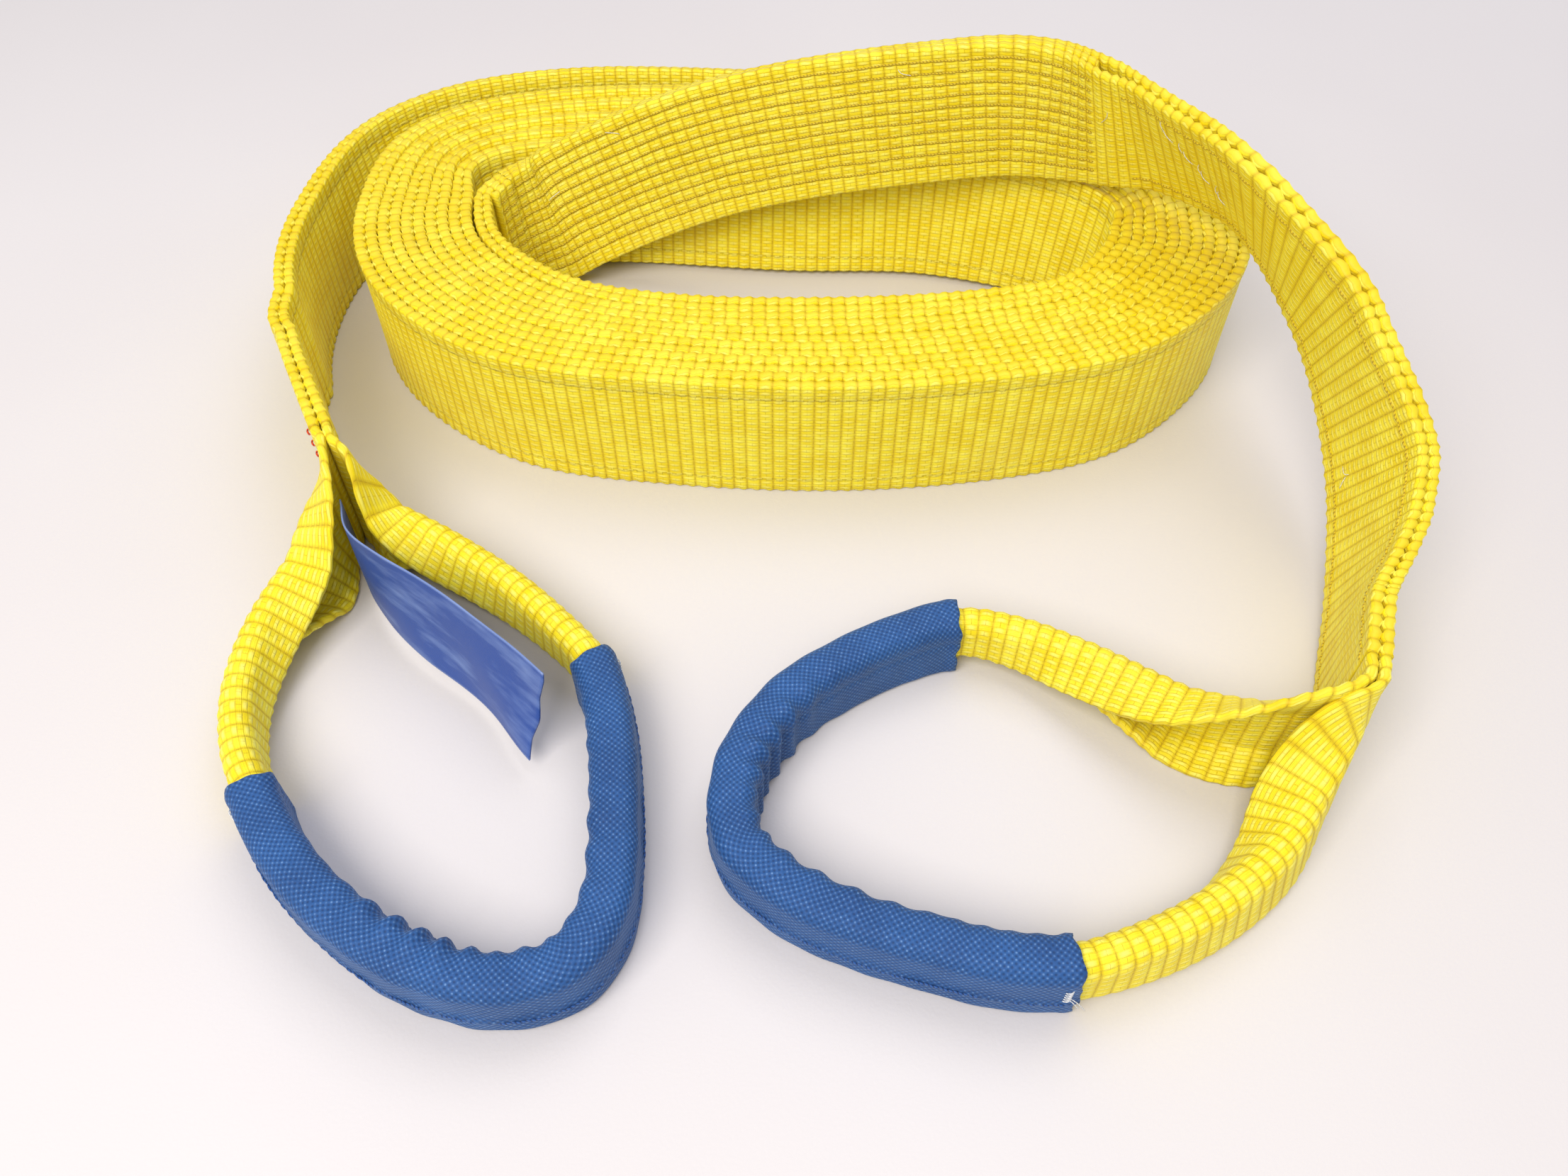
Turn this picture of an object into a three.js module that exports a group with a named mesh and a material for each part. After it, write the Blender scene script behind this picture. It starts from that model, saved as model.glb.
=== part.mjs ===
// Flat web sling, coiled: a two-ply web in a stadium-shaped coil standing on its edge, a third ply
// where the web's two ends overlap and are sewn, a single-ply eye at each end folded lengthwise and
// covered with a wear sleeve, and an identification label sewn into one throat.
// Millimetres, +Z up. The coil and both eyes stand on the plane z = 0.
import * as THREE from "three";

// ---- driving sizes ----
const WEB_WIDTH = 50; // the webbing, edge to edge
const PLY = 3.4; // thickness of one ply of webbing
const PLY_GAP = 0.3; // air between two plies that lie together
const COIL_TURNS = 5; // full turns outside the innermost one
const COIL_LEAN = 19; // degrees that the back of the coil leans outwards
const STEPS_PER_TURN = 44; // straight steps that one turn is drawn with
const SPLICE_START = 1.35; // strand station where the overlapping end is cut
const SPLICE_END = 11.6; // strand station where the covered end is cut
const SPLICE_STEP = 1.1; // stations over which the overlapping ply closes on the outer one
const THROAT_SLIT = 1.5; // free web between a throat and the stiff start of its eye
const THROAT_STRAIGHT = 5.5; // straight web on the eye's side of a throat
const FLAP = 10.5; // free width of each edge of an eye's web past its fold
const SLEEVE_WALL = 1.0; // wear sleeve cloth
const SLEEVE_CLEARANCE = 0.5; // between the sleeve and the folded web in it
const THREAD = 0.8; // width of a laid sewing thread
const THREAD_HEIGHT = 0.6; // how far a laid thread stands off the web
const THREAD_GAP = 0.3; // between a thread and the surface it lies on
const SPLICE_THREAD_GAP = 0.7; // the same on the strand, which twists
const STITCH_ROWS = 10; // lengthwise rows of stitching that hold the overlap
const STITCH_MARGIN = 4.5; // from the upper edge of the web to the first row
const STITCH_PITCH = 4.3; // between rows
const EDGE_STITCH_MARGIN = 6; // from a web edge to the line that joins the plies
const LABEL_WIDTH = 32;
const LABEL_THICKNESS = 0.6;
const LABEL_LIFT = 4; // lower edge of the label above the surface

const DUPLEX = 2 * PLY + PLY_GAP;
const LOWER_FOLD = (PLY + PLY_GAP) / 2; // the lower edge folds tight against the standing part
const UPPER_FOLD = PLY + PLY_GAP; // the upper edge folds over the lower one

// ---- plan of the coil: the innermost full turn, clockwise from the middle of the back ----
// x, y, and the looseness between neighbouring turns there
const INNER_TURN = [
  [0, 47, 4.7],
  [60, 45.5, 3.8],
  [111.5, 28.5, 2.7],
  [129, 5, 1.6],
  [107.5, -26.5, 0.7],
  [74, -38, 0.8],
  [20, -44, 0.9],
  [-37, -42.5, 0.7],
  [-83.5, -30.5, 1.4],
  [-117, 1, 1.7],
  [-119, 40, 1.8],
  [-76, 52, 3.0],
];
// how much further out than one more turn the left tail runs, at each outline point it passes
const TAIL_SPREAD = [[0], [6.7], [11.5], [23]];
const COIL_LEAVE = 0.79; // share of a turn that the innermost turn runs on before it rises

// ---- free routes, chosen by hand ----
// left tail, outer face: x, y; from the throat towards the coil
const LEFT_TAIL = [
  [-152.5, -102.5],
  [-163, -82],
  [-174.5, -58],
];
// rising strand and right tail, outer face at the lower edge: x, y, height in web widths, lean
const STRAND = [
  [-107.5, 38.5, 0, 9],
  [-88, 45, 0.05, 16],
  [-70, 47, 0.19, 21],
  [-48, 47.5, 0.39, 21],
  [-27, 47, 0.57, 19],
  [-4, 46, 0.72, 18],
  [24, 46, 0.84, 16],
  [56, 47, 0.93, 13],
  [87, 46.5, 1.02, 7],
  [114, 41, 1.08, -4],
  [134, 31, 1.16, -17],
  [150, 16, 1.23, -27],
  [165, -4, 1.27, -31],
  [173, -25, 1.22, -26],
  [180, -47, 1.06, -17],
  [186, -66, 0.85, -9],
  [189, -86, 0.61, 1],
  [189.5, -106, 0.38, 9],
  [187, -126, 0.2, 9],
  [183, -145, 0.08, 5],
  [177.5, -163, 0.01, 1],
  [172, -179, 0, 0],
  [167, -193, 0, 0],
];
// eyes: x, y of the middle of the folded web, its upper and lower fold in degrees, and its lean
// away from the eye's middle
const LEFT_EYE = [
  [-151.5, -120, 45, 25, 3],
  [-158, -139, 105, 95, 8],
  [-163.5, -160, 145, 140, 6],
  [-164, -181, 165, 165, 2],
  [-159, -200, 175, 178, 0],
  [-150.5, -215.5, 180, 180, 0],
  [-137.5, -234.5, 180, 180, 0],
  [-120, -251, 180, 180, 0],
  [-98.5, -265, 180, 180, 0],
  [-75, -271, 180, 180, 0],
  [-57, -267, 180, 180, 0],
  [-48, -253.5, 180, 180, 0],
  [-46.5, -234, 180, 180, 0],
  [-48.5, -211, 180, 180, 0],
  [-52, -190, 180, 180, 0],
  [-58.5, -171.5, 180, 180, 0],
  [-72, -155.5, 175, 178, 0],
  [-89, -140, 165, 172, 6],
  [-107, -127, 145, 160, 8],
  [-123, -117, 100, 120, 8],
  [-135.5, -110, 25, 30, 3],
];
const RIGHT_EYE = [
  [153, -200.5, 5, 10, 0],
  [142, -198, 25, 35, 0],
  [128, -191.5, 60, 70, 0],
  [111, -180.5, 100, 110, -3],
  [92, -168.5, 135, 145, -3],
  [72, -159.5, 168, 172, 0],
  [54, -156.5, 180, 180, 0],
  [35, -162.5, 180, 180, 0],
  [15, -173.5, 180, 180, 0],
  [-1.5, -187.5, 180, 180, 0],
  [-11.5, -203.5, 180, 180, 0],
  [-14.5, -219.5, 180, 180, 0],
  [-11, -234, 180, 180, 0],
  [0, -245, 180, 180, 0],
  [15, -253, 180, 180, 0],
  [35, -260, 180, 180, 0],
  [55, -265, 180, 180, 0],
  [75, -266, 180, 180, 0],
  [97, -259.5, 175, 178, -8],
  [118, -249, 160, 170, -12],
  [137, -235, 130, 150, -12],
  [151, -219, 75, 95, -8],
  [160, -206, 15, 20, -3],
];
const LEFT_SLEEVE = [7, 17]; // stations of the eye's route that the sleeve covers
const RIGHT_SLEEVE = [8, 19];
// label: x, y of its lower edge from its sewn end, and its lean
const LABEL = [
  [-142, -121, 0],
  [-137.5, -134, 1],
  [-128, -147, 8],
  [-115, -159.5, 14],
  [-101.5, -171.5, 18],
  [-88, -184, 21],
  [-76, -197, 22],
];

// ---- curves ----
const mix = (a, b, f) => a.map((v, i) => v + (b[i] - v) * f);

// Catmull-Rom value through a list of stations, where t counts stations; open ends are mirrored.
function through(stations, t, closed = false) {
  const n = stations.length;
  const i = closed ? Math.floor(t) : Math.max(0, Math.min(Math.floor(t), n - 2));
  const f = t - i;
  const at = (k) => {
    if (closed) return stations[((k % n) + n) % n];
    if (k < 0) return mix(stations[1], stations[0], 2);
    return k < n ? stations[k] : mix(stations[n - 2], stations[n - 1], 2);
  };
  const [a, b, c, d] = [at(i - 1), at(i), at(i + 1), at(i + 2)];
  return b.map(
    (v, k) =>
      0.5 *
      (2 * v +
        (c[k] - a[k]) * f +
        (2 * a[k] - 5 * v + 4 * c[k] - d[k]) * f ** 2 +
        (3 * v - a[k] - 3 * c[k] + d[k]) * f ** 3),
  );
}

const smooth = (x) => THREE.MathUtils.smoothstep(x, 0, 1);
const radians = THREE.MathUtils.degToRad;

// Outer face of the duplex web in the coil, after p turns: x, y, height, lean.
// Each turn lies one duplex and its looseness inside the one before; below zero it is the tail.
function coilRow(p) {
  const t = p * INNER_TURN.length;
  const [x, y, loose] = through(INNER_TURN, t, true);
  const [x1, y1] = through(INNER_TURN, t + 0.02, true);
  const length = Math.hypot(x1 - x, y1 - y);
  const out = [-(y1 - y) / length, (x1 - x) / length];
  const spread = p < 0 ? through(TAIL_SPREAD, -t)[0] : 0;
  const reach = (COIL_TURNS - p) * (DUPLEX + loose) + DUPLEX / 2 + spread;
  const lean = COIL_LEAN * Math.max(0, out[1]) ** 1.5;
  return [x + out[0] * reach, y + out[1] * reach, 0, lean];
}

// Rows of the whole two-ply web, throat to throat: { at, up, out, station }.
function webRows() {
  const rows = [];
  const leave = COIL_TURNS + COIL_LEAVE;
  const tail = [...LEFT_TAIL.map((q) => [...q, 0, 0]), coilRow(-0.25), coilRow(-0.17)];
  const joint = LEFT_TAIL.length;
  for (let t = 0; t < joint; t += 0.25) rows.push([...through(tail, t), -1]);
  const turnSteps = Math.round((leave + 0.25) * STEPS_PER_TURN);
  for (let k = 0; k < turnSteps; k++) {
    rows.push([...coilRow(-0.25 + (k / turnSteps) * (leave + 0.25)), 0]);
  }
  const strand = [coilRow(leave - 0.08), coilRow(leave)].concat(
    STRAND.map(([x, y, z, lean]) => [x, y, z * WEB_WIDTH, lean]),
  );
  const last = strand.length - 1;
  for (let t = 1; t < last + 0.01; t += 1 / 4) {
    const [x, y, z, lean] = through(strand, Math.min(t, last));
    rows.push([x, y, Math.max(0, z), lean, t]);
  }
  return framed(rows);
}

// Turns rows of x, y, z, lean, station into frames: `up` runs across the web, `out` off its face.
function framed(rows) {
  const points = rows.map(([x, y, z]) => new THREE.Vector3(x, y, z));
  return rows.map(([, , , lean, station], i) => {
    const before = points[Math.max(0, i - 1)];
    const after = points[Math.min(rows.length - 1, i + 1)];
    const along = after.clone().sub(before).normalize();
    const side = new THREE.Vector3(-along.y, along.x, 0).normalize();
    const rise = along.clone().cross(side);
    const c = Math.cos(radians(lean));
    const s = Math.sin(radians(lean));
    const up = rise.clone().multiplyScalar(c).addScaledVector(side, s);
    const out = side.clone().multiplyScalar(c).addScaledVector(rise, -s);
    return { at: points[i], along, up, out, station };
  });
}

const place = (row, height, off) =>
  row.at.clone().addScaledVector(row.up, height).addScaledVector(row.out, off);

// ---- solids ----
function solid(points, faces) {
  const volume = faces.reduce((sum, [a, b, c]) => {
    return sum + points[a].dot(points[b].clone().cross(points[c]));
  }, 0);
  const wound = volume < 0 ? faces.map(([a, b, c]) => [a, c, b]) : faces;
  const geometry = new THREE.BufferGeometry().setFromPoints(points);
  geometry.setIndex(wound.flat());
  geometry.computeVertexNormals();
  return geometry;
}

// A closed sheet: each row has points across its front face and the same number across its back.
function sheetSolid(rows) {
  const k = rows[0].front.length;
  const points = rows.flatMap(({ front, back }) => [...front, ...back]);
  const faces = [];
  const quad = (a, b, c, d) => faces.push([a, b, c], [a, c, d]);
  const front = (i, j) => i * 2 * k + j;
  const back = (i, j) => front(i, j) + k;
  for (let i = 0; i + 1 < rows.length; i++) {
    for (let j = 0; j + 1 < k; j++) {
      quad(front(i, j), front(i + 1, j), front(i + 1, j + 1), front(i, j + 1));
      quad(back(i, j), back(i, j + 1), back(i + 1, j + 1), back(i + 1, j));
    }
    quad(front(i, 0), back(i, 0), back(i + 1, 0), front(i + 1, 0));
    quad(front(i, k - 1), front(i + 1, k - 1), back(i + 1, k - 1), back(i, k - 1));
  }
  for (let j = 0; j + 1 < k; j++) {
    const end = rows.length - 1;
    quad(front(0, j), front(0, j + 1), back(0, j + 1), back(0, j));
    quad(front(end, j), back(end, j), back(end, j + 1), front(end, j + 1));
  }
  return solid(points, faces);
}

// A pipe with open ends and a real bore: each row has a ring outside and a ring inside.
function sleeveSolid(rows) {
  const k = rows[0].outer.length;
  const points = rows.flatMap(({ outer, inner }) => [...outer, ...inner]);
  const faces = [];
  const quad = (a, b, c, d) => faces.push([a, b, c], [a, c, d]);
  const outer = (i, j) => i * 2 * k + (j % k);
  const inner = (i, j) => outer(i, j) + k;
  const end = rows.length - 1;
  for (let j = 0; j < k; j++) {
    for (let i = 0; i < end; i++) {
      quad(outer(i, j), outer(i + 1, j), outer(i + 1, j + 1), outer(i, j + 1));
      quad(inner(i, j), inner(i, j + 1), inner(i + 1, j + 1), inner(i + 1, j));
    }
    quad(outer(0, j), outer(0, j + 1), inner(0, j + 1), inner(0, j));
    quad(outer(end, j), inner(end, j), inner(end, j + 1), outer(end, j + 1));
  }
  return solid(points, faces);
}

// A strip of the web between two offsets from the outer face, negative inwards.
function plySolid(rows, outerOff, innerOff, low = 0, high = WEB_WIDTH) {
  return sheetSolid(
    rows.map((row) => {
      const [o, i] = [outerOff(row), innerOff(row)];
      return {
        front: [place(row, low, o), place(row, high, o)],
        back: [place(row, low, i), place(row, high, i)],
      };
    }),
  );
}

// ---- materials ----
const webbing = { color: 0xe8cf14, roughness: 0.62, metalness: 0 };
const sleeveCloth = { color: 0x2f66a6, roughness: 0.7, metalness: 0 };
const labelCloth = { color: 0x2b4c8c, roughness: 0.45, metalness: 0 };
const yellowThread = { color: 0xe9d65a, roughness: 0.6, metalness: 0 };
const blueThread = { color: 0x274f86, roughness: 0.6, metalness: 0 };
const whiteThread = { color: 0xe9edf0, roughness: 0.6, metalness: 0 };
const redThread = { color: 0xc8452c, roughness: 0.6, metalness: 0 };

const sling = new THREE.Group();
function addPiece(name, geometry, finish) {
  const mesh = new THREE.Mesh(geometry, new THREE.MeshStandardMaterial(finish));
  mesh.name = name;
  sling.add(mesh);
}

// ---- the web body ----
const web = webRows();
const sewn = web.filter((r) => r.station >= SPLICE_START && r.station <= SPLICE_END);
const overlapping = web.filter((r) => r.station >= SPLICE_START);
const covered = web.filter((r) => r.station <= SPLICE_END);

// Outer face of the overlapping ply: over three plies in the splice, over two past its end.
const overlapOff = (row) => {
  const closing = smooth((row.station - SPLICE_END) / SPLICE_STEP);
  return -(PLY + PLY_GAP) * (2 - closing);
};
addPiece("body_ply_outer", plySolid(web, () => 0, () => -PLY), webbing);
addPiece(
  "body_ply_inner",
  plySolid(covered, () => -PLY - PLY_GAP, () => -DUPLEX),
  webbing,
);
addPiece(
  "overlap_ply",
  plySolid(overlapping, overlapOff, (r) => overlapOff(r) - PLY),
  webbing,
);

// Threads laid on the inner face of the overlapping ply.
function threadOn(rows, height) {
  const near = (r) => overlapOff(r) - PLY - SPLICE_THREAD_GAP;
  const far = (r) => near(r) - THREAD_HEIGHT;
  return plySolid(rows, near, far, height - THREAD / 2, height + THREAD / 2);
}
for (let k = 0; k < STITCH_ROWS; k++) {
  const height = WEB_WIDTH - STITCH_MARGIN - k * STITCH_PITCH;
  const name = `splice_stitch_row_${String(k + 1).padStart(2, "0")}`;
  addPiece(name, threadOn(sewn.slice(1, -1), height), yellowThread);
}
const pastSplice = overlapping.filter((r) => r.station > SPLICE_END + 0.5);
const edgeLine = pastSplice.slice(0, -2);
addPiece("edge_stitch_lower", threadOn(edgeLine, EDGE_STITCH_MARGIN), yellowThread);
addPiece("edge_stitch_upper", threadOn(edgeLine, WEB_WIDTH - EDGE_STITCH_MARGIN), yellowThread);

// ---- throats ----
const leftThroat = web[0];
const rightThroat = web[web.length - 1];

// A tack of red thread through both plies, standing on the outer face beside a throat.
function throatTack(rows) {
  const off = THREAD_GAP + THREAD_HEIGHT;
  return plySolid(rows, () => off, () => THREAD_GAP, 0.15 * WEB_WIDTH, 0.9 * WEB_WIDTH);
}
addPiece("left_throat_tack", throatTack(web.slice(1, 3)), redThread);
addPiece("right_throat_tack", throatTack(web.slice(-3, -1)), redThread);

// ---- eyes ----
const LOWER_FOLD_AT = FLAP + (Math.PI * LOWER_FOLD) / 2; // middle of each fold, across the web
const UPPER_FOLD_AT = WEB_WIDTH - FLAP - (Math.PI * UPPER_FOLD) / 2;
const STANDING_MIDDLE = (LOWER_FOLD_AT + UPPER_FOLD_AT) / 2;
const FOLD_STEPS = [-1, 0, 1];
// Places across the web that a folded section is drawn through, close together at the folds.
const ACROSS = [
  0,
  ...FOLD_STEPS.map((f) => LOWER_FOLD_AT + (f * Math.PI * LOWER_FOLD) / 2),
  ...FOLD_STEPS.map((f) => UPPER_FOLD_AT + (f * Math.PI * UPPER_FOLD) / 2),
  WEB_WIDTH,
];

// One edge of the web going `run` from the standing middle: straight, an arc round the fold
// at `foldAt`, straight again. Gives the reach inwards, the rise and the turn there.
function foldedEdge(run, foldAt, radius, fold) {
  const arc = radius * fold;
  const straight = foldAt - arc / 2;
  const turned = THREE.MathUtils.clamp((run - straight) / radius, 0, fold);
  const past = Math.max(0, run - straight - arc);
  const rise = Math.min(run, straight) + radius * Math.sin(turned) + past * Math.cos(fold);
  const reach = radius * (1 - Math.cos(turned)) + past * Math.sin(fold);
  return [reach, rise, turned];
}

// Cross-section of a web whose two edges fold inwards, `off` outside its middle surface.
// The developed length stays the web's width; the reach counts from the folded section's middle.
function foldPoint(across, upper, lower, off) {
  const up = across >= STANDING_MIDDLE;
  const run = Math.abs(across - STANDING_MIDDLE);
  const [foldAt, radius, fold] = up
    ? [UPPER_FOLD_AT - STANDING_MIDDLE, UPPER_FOLD, upper]
    : [STANDING_MIDDLE - LOWER_FOLD_AT, LOWER_FOLD, lower];
  const [reach, rise, turned] = foldedEdge(run, foldAt, radius, fold);
  const middle = (UPPER_FOLD * (1 - Math.cos(upper))) / 2;
  const out = rise + off * Math.sin(turned);
  return [reach - off * Math.cos(turned) - middle, up ? out : -out];
}

// Stations of an eye: from one ply's end at the throat, round the crown, to the other ply's end.
function eyeStations(throat, away, route, startOff, endOff) {
  const leave = (off, distance) => {
    const q = place(throat, 0, off).addScaledVector(throat.along, away * distance);
    return [q.x, q.y, 0, 0, 0];
  };
  const near = [THROAT_SLIT, THROAT_SLIT + THROAT_STRAIGHT];
  return [
    ...near.map((d) => leave(startOff, d)),
    ...route,
    ...near.map((d) => leave(endOff, d)).reverse(),
  ];
}

// A frame of the eye's route at station t.
function eyeFrame(stations, t) {
  const [x, y, upper, lower, lean] = through(stations, t);
  const [xa, ya] = through(stations, Math.max(0, t - 0.02));
  const [xb, yb] = through(stations, Math.min(stations.length - 1, t + 0.02));
  const along = new THREE.Vector3(xb - xa, yb - ya, 0).normalize();
  const side = new THREE.Vector3(-along.y, along.x, 0);
  const angle = (degrees) => radians(THREE.MathUtils.clamp(degrees, 0, 180));
  return { x, y, upper: angle(upper), lower: angle(lower), lean: radians(lean), side };
}

// Puts a section point (towards the eye's middle, up) in the world.
function standing(frame, [reach, rise], lift) {
  const c = Math.cos(frame.lean);
  const s = Math.sin(frame.lean);
  const a = reach * c - rise * s;
  const h = rise * c + reach * s;
  return new THREE.Vector3(frame.x + frame.side.x * a, frame.y + frame.side.y * a, h + lift);
}

const SLEEVE_LIFT = SLEEVE_WALL + SLEEVE_CLEARANCE;
// The web lies on the surface at the throat and is lifted by the sleeve's wall inside it.
function eyeLift(t, [from, to]) {
  const entering = smooth((t - from + 2.5) / 2.5);
  const leaving = smooth((to + 2.5 - t) / 2.5);
  return SLEEVE_LIFT * Math.min(entering, leaving);
}

function eyeWeb(stations, sleeve) {
  const rows = [];
  const last = stations.length - 1;
  for (let k = 0; k <= 2 * last; k++) {
    const t = k / 2;
    const frame = eyeFrame(stations, t);
    const skin = (off) =>
      ACROSS.map((across) => standing(frame, foldPoint(across, frame.upper, frame.lower, off), 0));
    const row = { front: skin(PLY / 2), back: skin(-PLY / 2) };
    const lowest = Math.min(...row.front.map((q) => q.z), ...row.back.map((q) => q.z));
    const lift = eyeLift(t, sleeve) - lowest;
    [...row.front, ...row.back].forEach((q) => (q.z += lift));
    rows.push(row);
  }
  return sheetSolid(rows);
}

// Half width and height of the folded web. Each end reaches as far as its fold, or as the free
// edge that comes from the other fold, whichever goes further.
const FOLDED_HALF = (UPPER_FOLD * 2 + PLY) / 2;
const STANDING = UPPER_FOLD_AT - LOWER_FOLD_AT - (Math.PI * (UPPER_FOLD + LOWER_FOLD)) / 2;
const EDGE_REACH = FLAP - STANDING;
const FOLDED_HEIGHT =
  STANDING + Math.max(UPPER_FOLD + PLY / 2, EDGE_REACH) + Math.max(LOWER_FOLD + PLY / 2, EDGE_REACH);
const SLEEVE_HALF = FOLDED_HALF + SLEEVE_CLEARANCE + SLEEVE_WALL;

// Ring of a sleeve: a rounded box round the folded web, `grow` outside its bore.
function sleeveRing(frame, grow) {
  const half = FOLDED_HALF + SLEEVE_CLEARANCE + grow;
  const low = SLEEVE_WALL - grow;
  const high = SLEEVE_LIFT + FOLDED_HEIGHT + SLEEVE_CLEARANCE + grow;
  const topRound = UPPER_FOLD + grow;
  const footRound = LOWER_FOLD / 2 + grow;
  const corners = [
    [half, low, 1, -1],
    [half, high, 1, 1],
    [-half, high, -1, 1],
    [-half, low, -1, -1],
  ];
  const ring = corners.flatMap(([a, h, sa, sh], i) =>
    [0, 0.5, 1].map((f) => {
      const turn = ((i - 1 + f) * Math.PI) / 2;
      const r = sh < 0 ? footRound : topRound;
      return [a - sa * r + r * Math.cos(turn), h - sh * r + r * Math.sin(turn)];
    }),
  );
  return ring.map((q) => standing({ ...frame, lean: 0 }, q, 0));
}

function sleeveRows(stations, [from, to]) {
  const steps = Math.round((to - from) * 2);
  return Array.from({ length: steps + 1 }, (_, k) =>
    eyeFrame(stations, from + ((to - from) * k) / steps),
  );
}

function sleeve(stations, span) {
  const rings = sleeveRows(stations, span).map((frame) => ({
    outer: sleeveRing(frame, SLEEVE_WALL),
    inner: sleeveRing(frame, 0),
  }));
  return sleeveSolid(rings);
}

// A strip of thread on the sleeve's outer side, between two heights and over some of its frames.
function sleeveThread(frames, low, high) {
  const strip = (reach) => (frame) =>
    [low, high].map((h) => standing({ ...frame, lean: 0 }, [reach, h], 0));
  const near = strip(-SLEEVE_HALF - THREAD_GAP);
  const far = strip(-SLEEVE_HALF - THREAD_GAP - THREAD_HEIGHT);
  return sheetSolid(frames.map((f) => ({ front: near(f), back: far(f) })));
}

const INNER_PLY_MIDDLE = -(1.5 * PLY + PLY_GAP);
const leftEye = eyeStations(leftThroat, -1, LEFT_EYE, -PLY / 2, INNER_PLY_MIDDLE);
const rightEye = eyeStations(rightThroat, 1, RIGHT_EYE, INNER_PLY_MIDDLE, -PLY / 2);
const SEAM_HEIGHT = 8; // sleeve seam above the surface
const SLEEVE_TACK_HEIGHT = [10, 17];
for (const [side, stations, span] of [
  ["left", leftEye, LEFT_SLEEVE],
  ["right", rightEye, RIGHT_SLEEVE],
]) {
  addPiece(`${side}_eye_web`, eyeWeb(stations, span), webbing);
  addPiece(`${side}_eye_sleeve`, sleeve(stations, span), sleeveCloth);
  const frames = sleeveRows(stations, span);
  const [low, high] = SLEEVE_TACK_HEIGHT;
  const seam = sleeveThread(frames, SEAM_HEIGHT, SEAM_HEIGHT + THREAD);
  addPiece(`${side}_sleeve_seam`, seam, blueThread);
  addPiece(`${side}_sleeve_tack_a`, sleeveThread(frames.slice(0, 2), low, high), whiteThread);
  addPiece(`${side}_sleeve_tack_b`, sleeveThread(frames.slice(-2), low, high), whiteThread);
}

// ---- label ----
const labelStations = [];
for (let t = 0; t <= LABEL.length - 1; t += 1 / 3) {
  const [x, y, lean] = through(LABEL, t);
  labelStations.push([x, y, LABEL_LIFT, lean, t]);
}
const labelRows = framed(labelStations);
const labelFace = LABEL_THICKNESS / 2;
addPiece(
  "id_label",
  plySolid(labelRows, () => labelFace, () => -labelFace, 0, LABEL_WIDTH),
  labelCloth,
);
const LABEL_STITCH_MARGIN = 3;
const stitchNear = -labelFace - THREAD_GAP;
const labelStitch = plySolid(
  labelRows.slice(0, 2),
  () => stitchNear,
  () => stitchNear - THREAD_HEIGHT,
  LABEL_STITCH_MARGIN,
  LABEL_WIDTH - LABEL_STITCH_MARGIN,
);
addPiece("label_stitch", labelStitch, whiteThread);

// ---- origin: middle of the footprint, on the surface ----
const box = new THREE.Box3().setFromObject(sling);
const middle = box.getCenter(new THREE.Vector3());
sling.position.set(-middle.x, -middle.y, -box.min.z);

export default sling;
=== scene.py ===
"""Coiled flat web sling: the woven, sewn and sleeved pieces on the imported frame."""

import logging
import math
from dataclasses import dataclass, field
from enum import Enum
from typing import Any, Callable

import bpy
import numpy as np
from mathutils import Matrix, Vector

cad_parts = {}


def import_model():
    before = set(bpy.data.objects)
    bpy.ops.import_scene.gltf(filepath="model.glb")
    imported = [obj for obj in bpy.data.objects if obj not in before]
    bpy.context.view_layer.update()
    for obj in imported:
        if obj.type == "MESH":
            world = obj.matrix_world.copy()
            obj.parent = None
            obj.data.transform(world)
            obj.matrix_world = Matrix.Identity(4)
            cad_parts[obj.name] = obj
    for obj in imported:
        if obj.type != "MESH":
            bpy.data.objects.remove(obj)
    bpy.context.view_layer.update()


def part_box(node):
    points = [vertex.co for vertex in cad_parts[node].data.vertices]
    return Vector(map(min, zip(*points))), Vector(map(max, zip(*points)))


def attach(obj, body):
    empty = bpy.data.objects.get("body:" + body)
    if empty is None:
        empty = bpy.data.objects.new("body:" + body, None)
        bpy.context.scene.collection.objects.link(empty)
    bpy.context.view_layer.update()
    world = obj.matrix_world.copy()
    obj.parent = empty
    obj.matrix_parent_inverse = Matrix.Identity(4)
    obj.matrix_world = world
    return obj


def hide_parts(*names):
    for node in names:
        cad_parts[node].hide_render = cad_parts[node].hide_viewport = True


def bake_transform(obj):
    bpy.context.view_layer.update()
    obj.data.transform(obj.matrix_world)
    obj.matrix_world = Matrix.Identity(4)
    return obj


LOG = logging.getLogger("web_sling")
MM = 0.001
Array = np.ndarray


class Body(str, Enum):
    """The frame's rigid bodies that pieces ride on."""

    WEB = "web_body"
    LEFT = "left_eye"
    RIGHT = "right_eye"
    LABEL = "label"


class Held(str, Enum):
    """How a cloth piece is held."""

    LAID = "laid"
    FOLDED = "folded"
    GATHERED = "gathered"
    HUNG = "hung"


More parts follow.
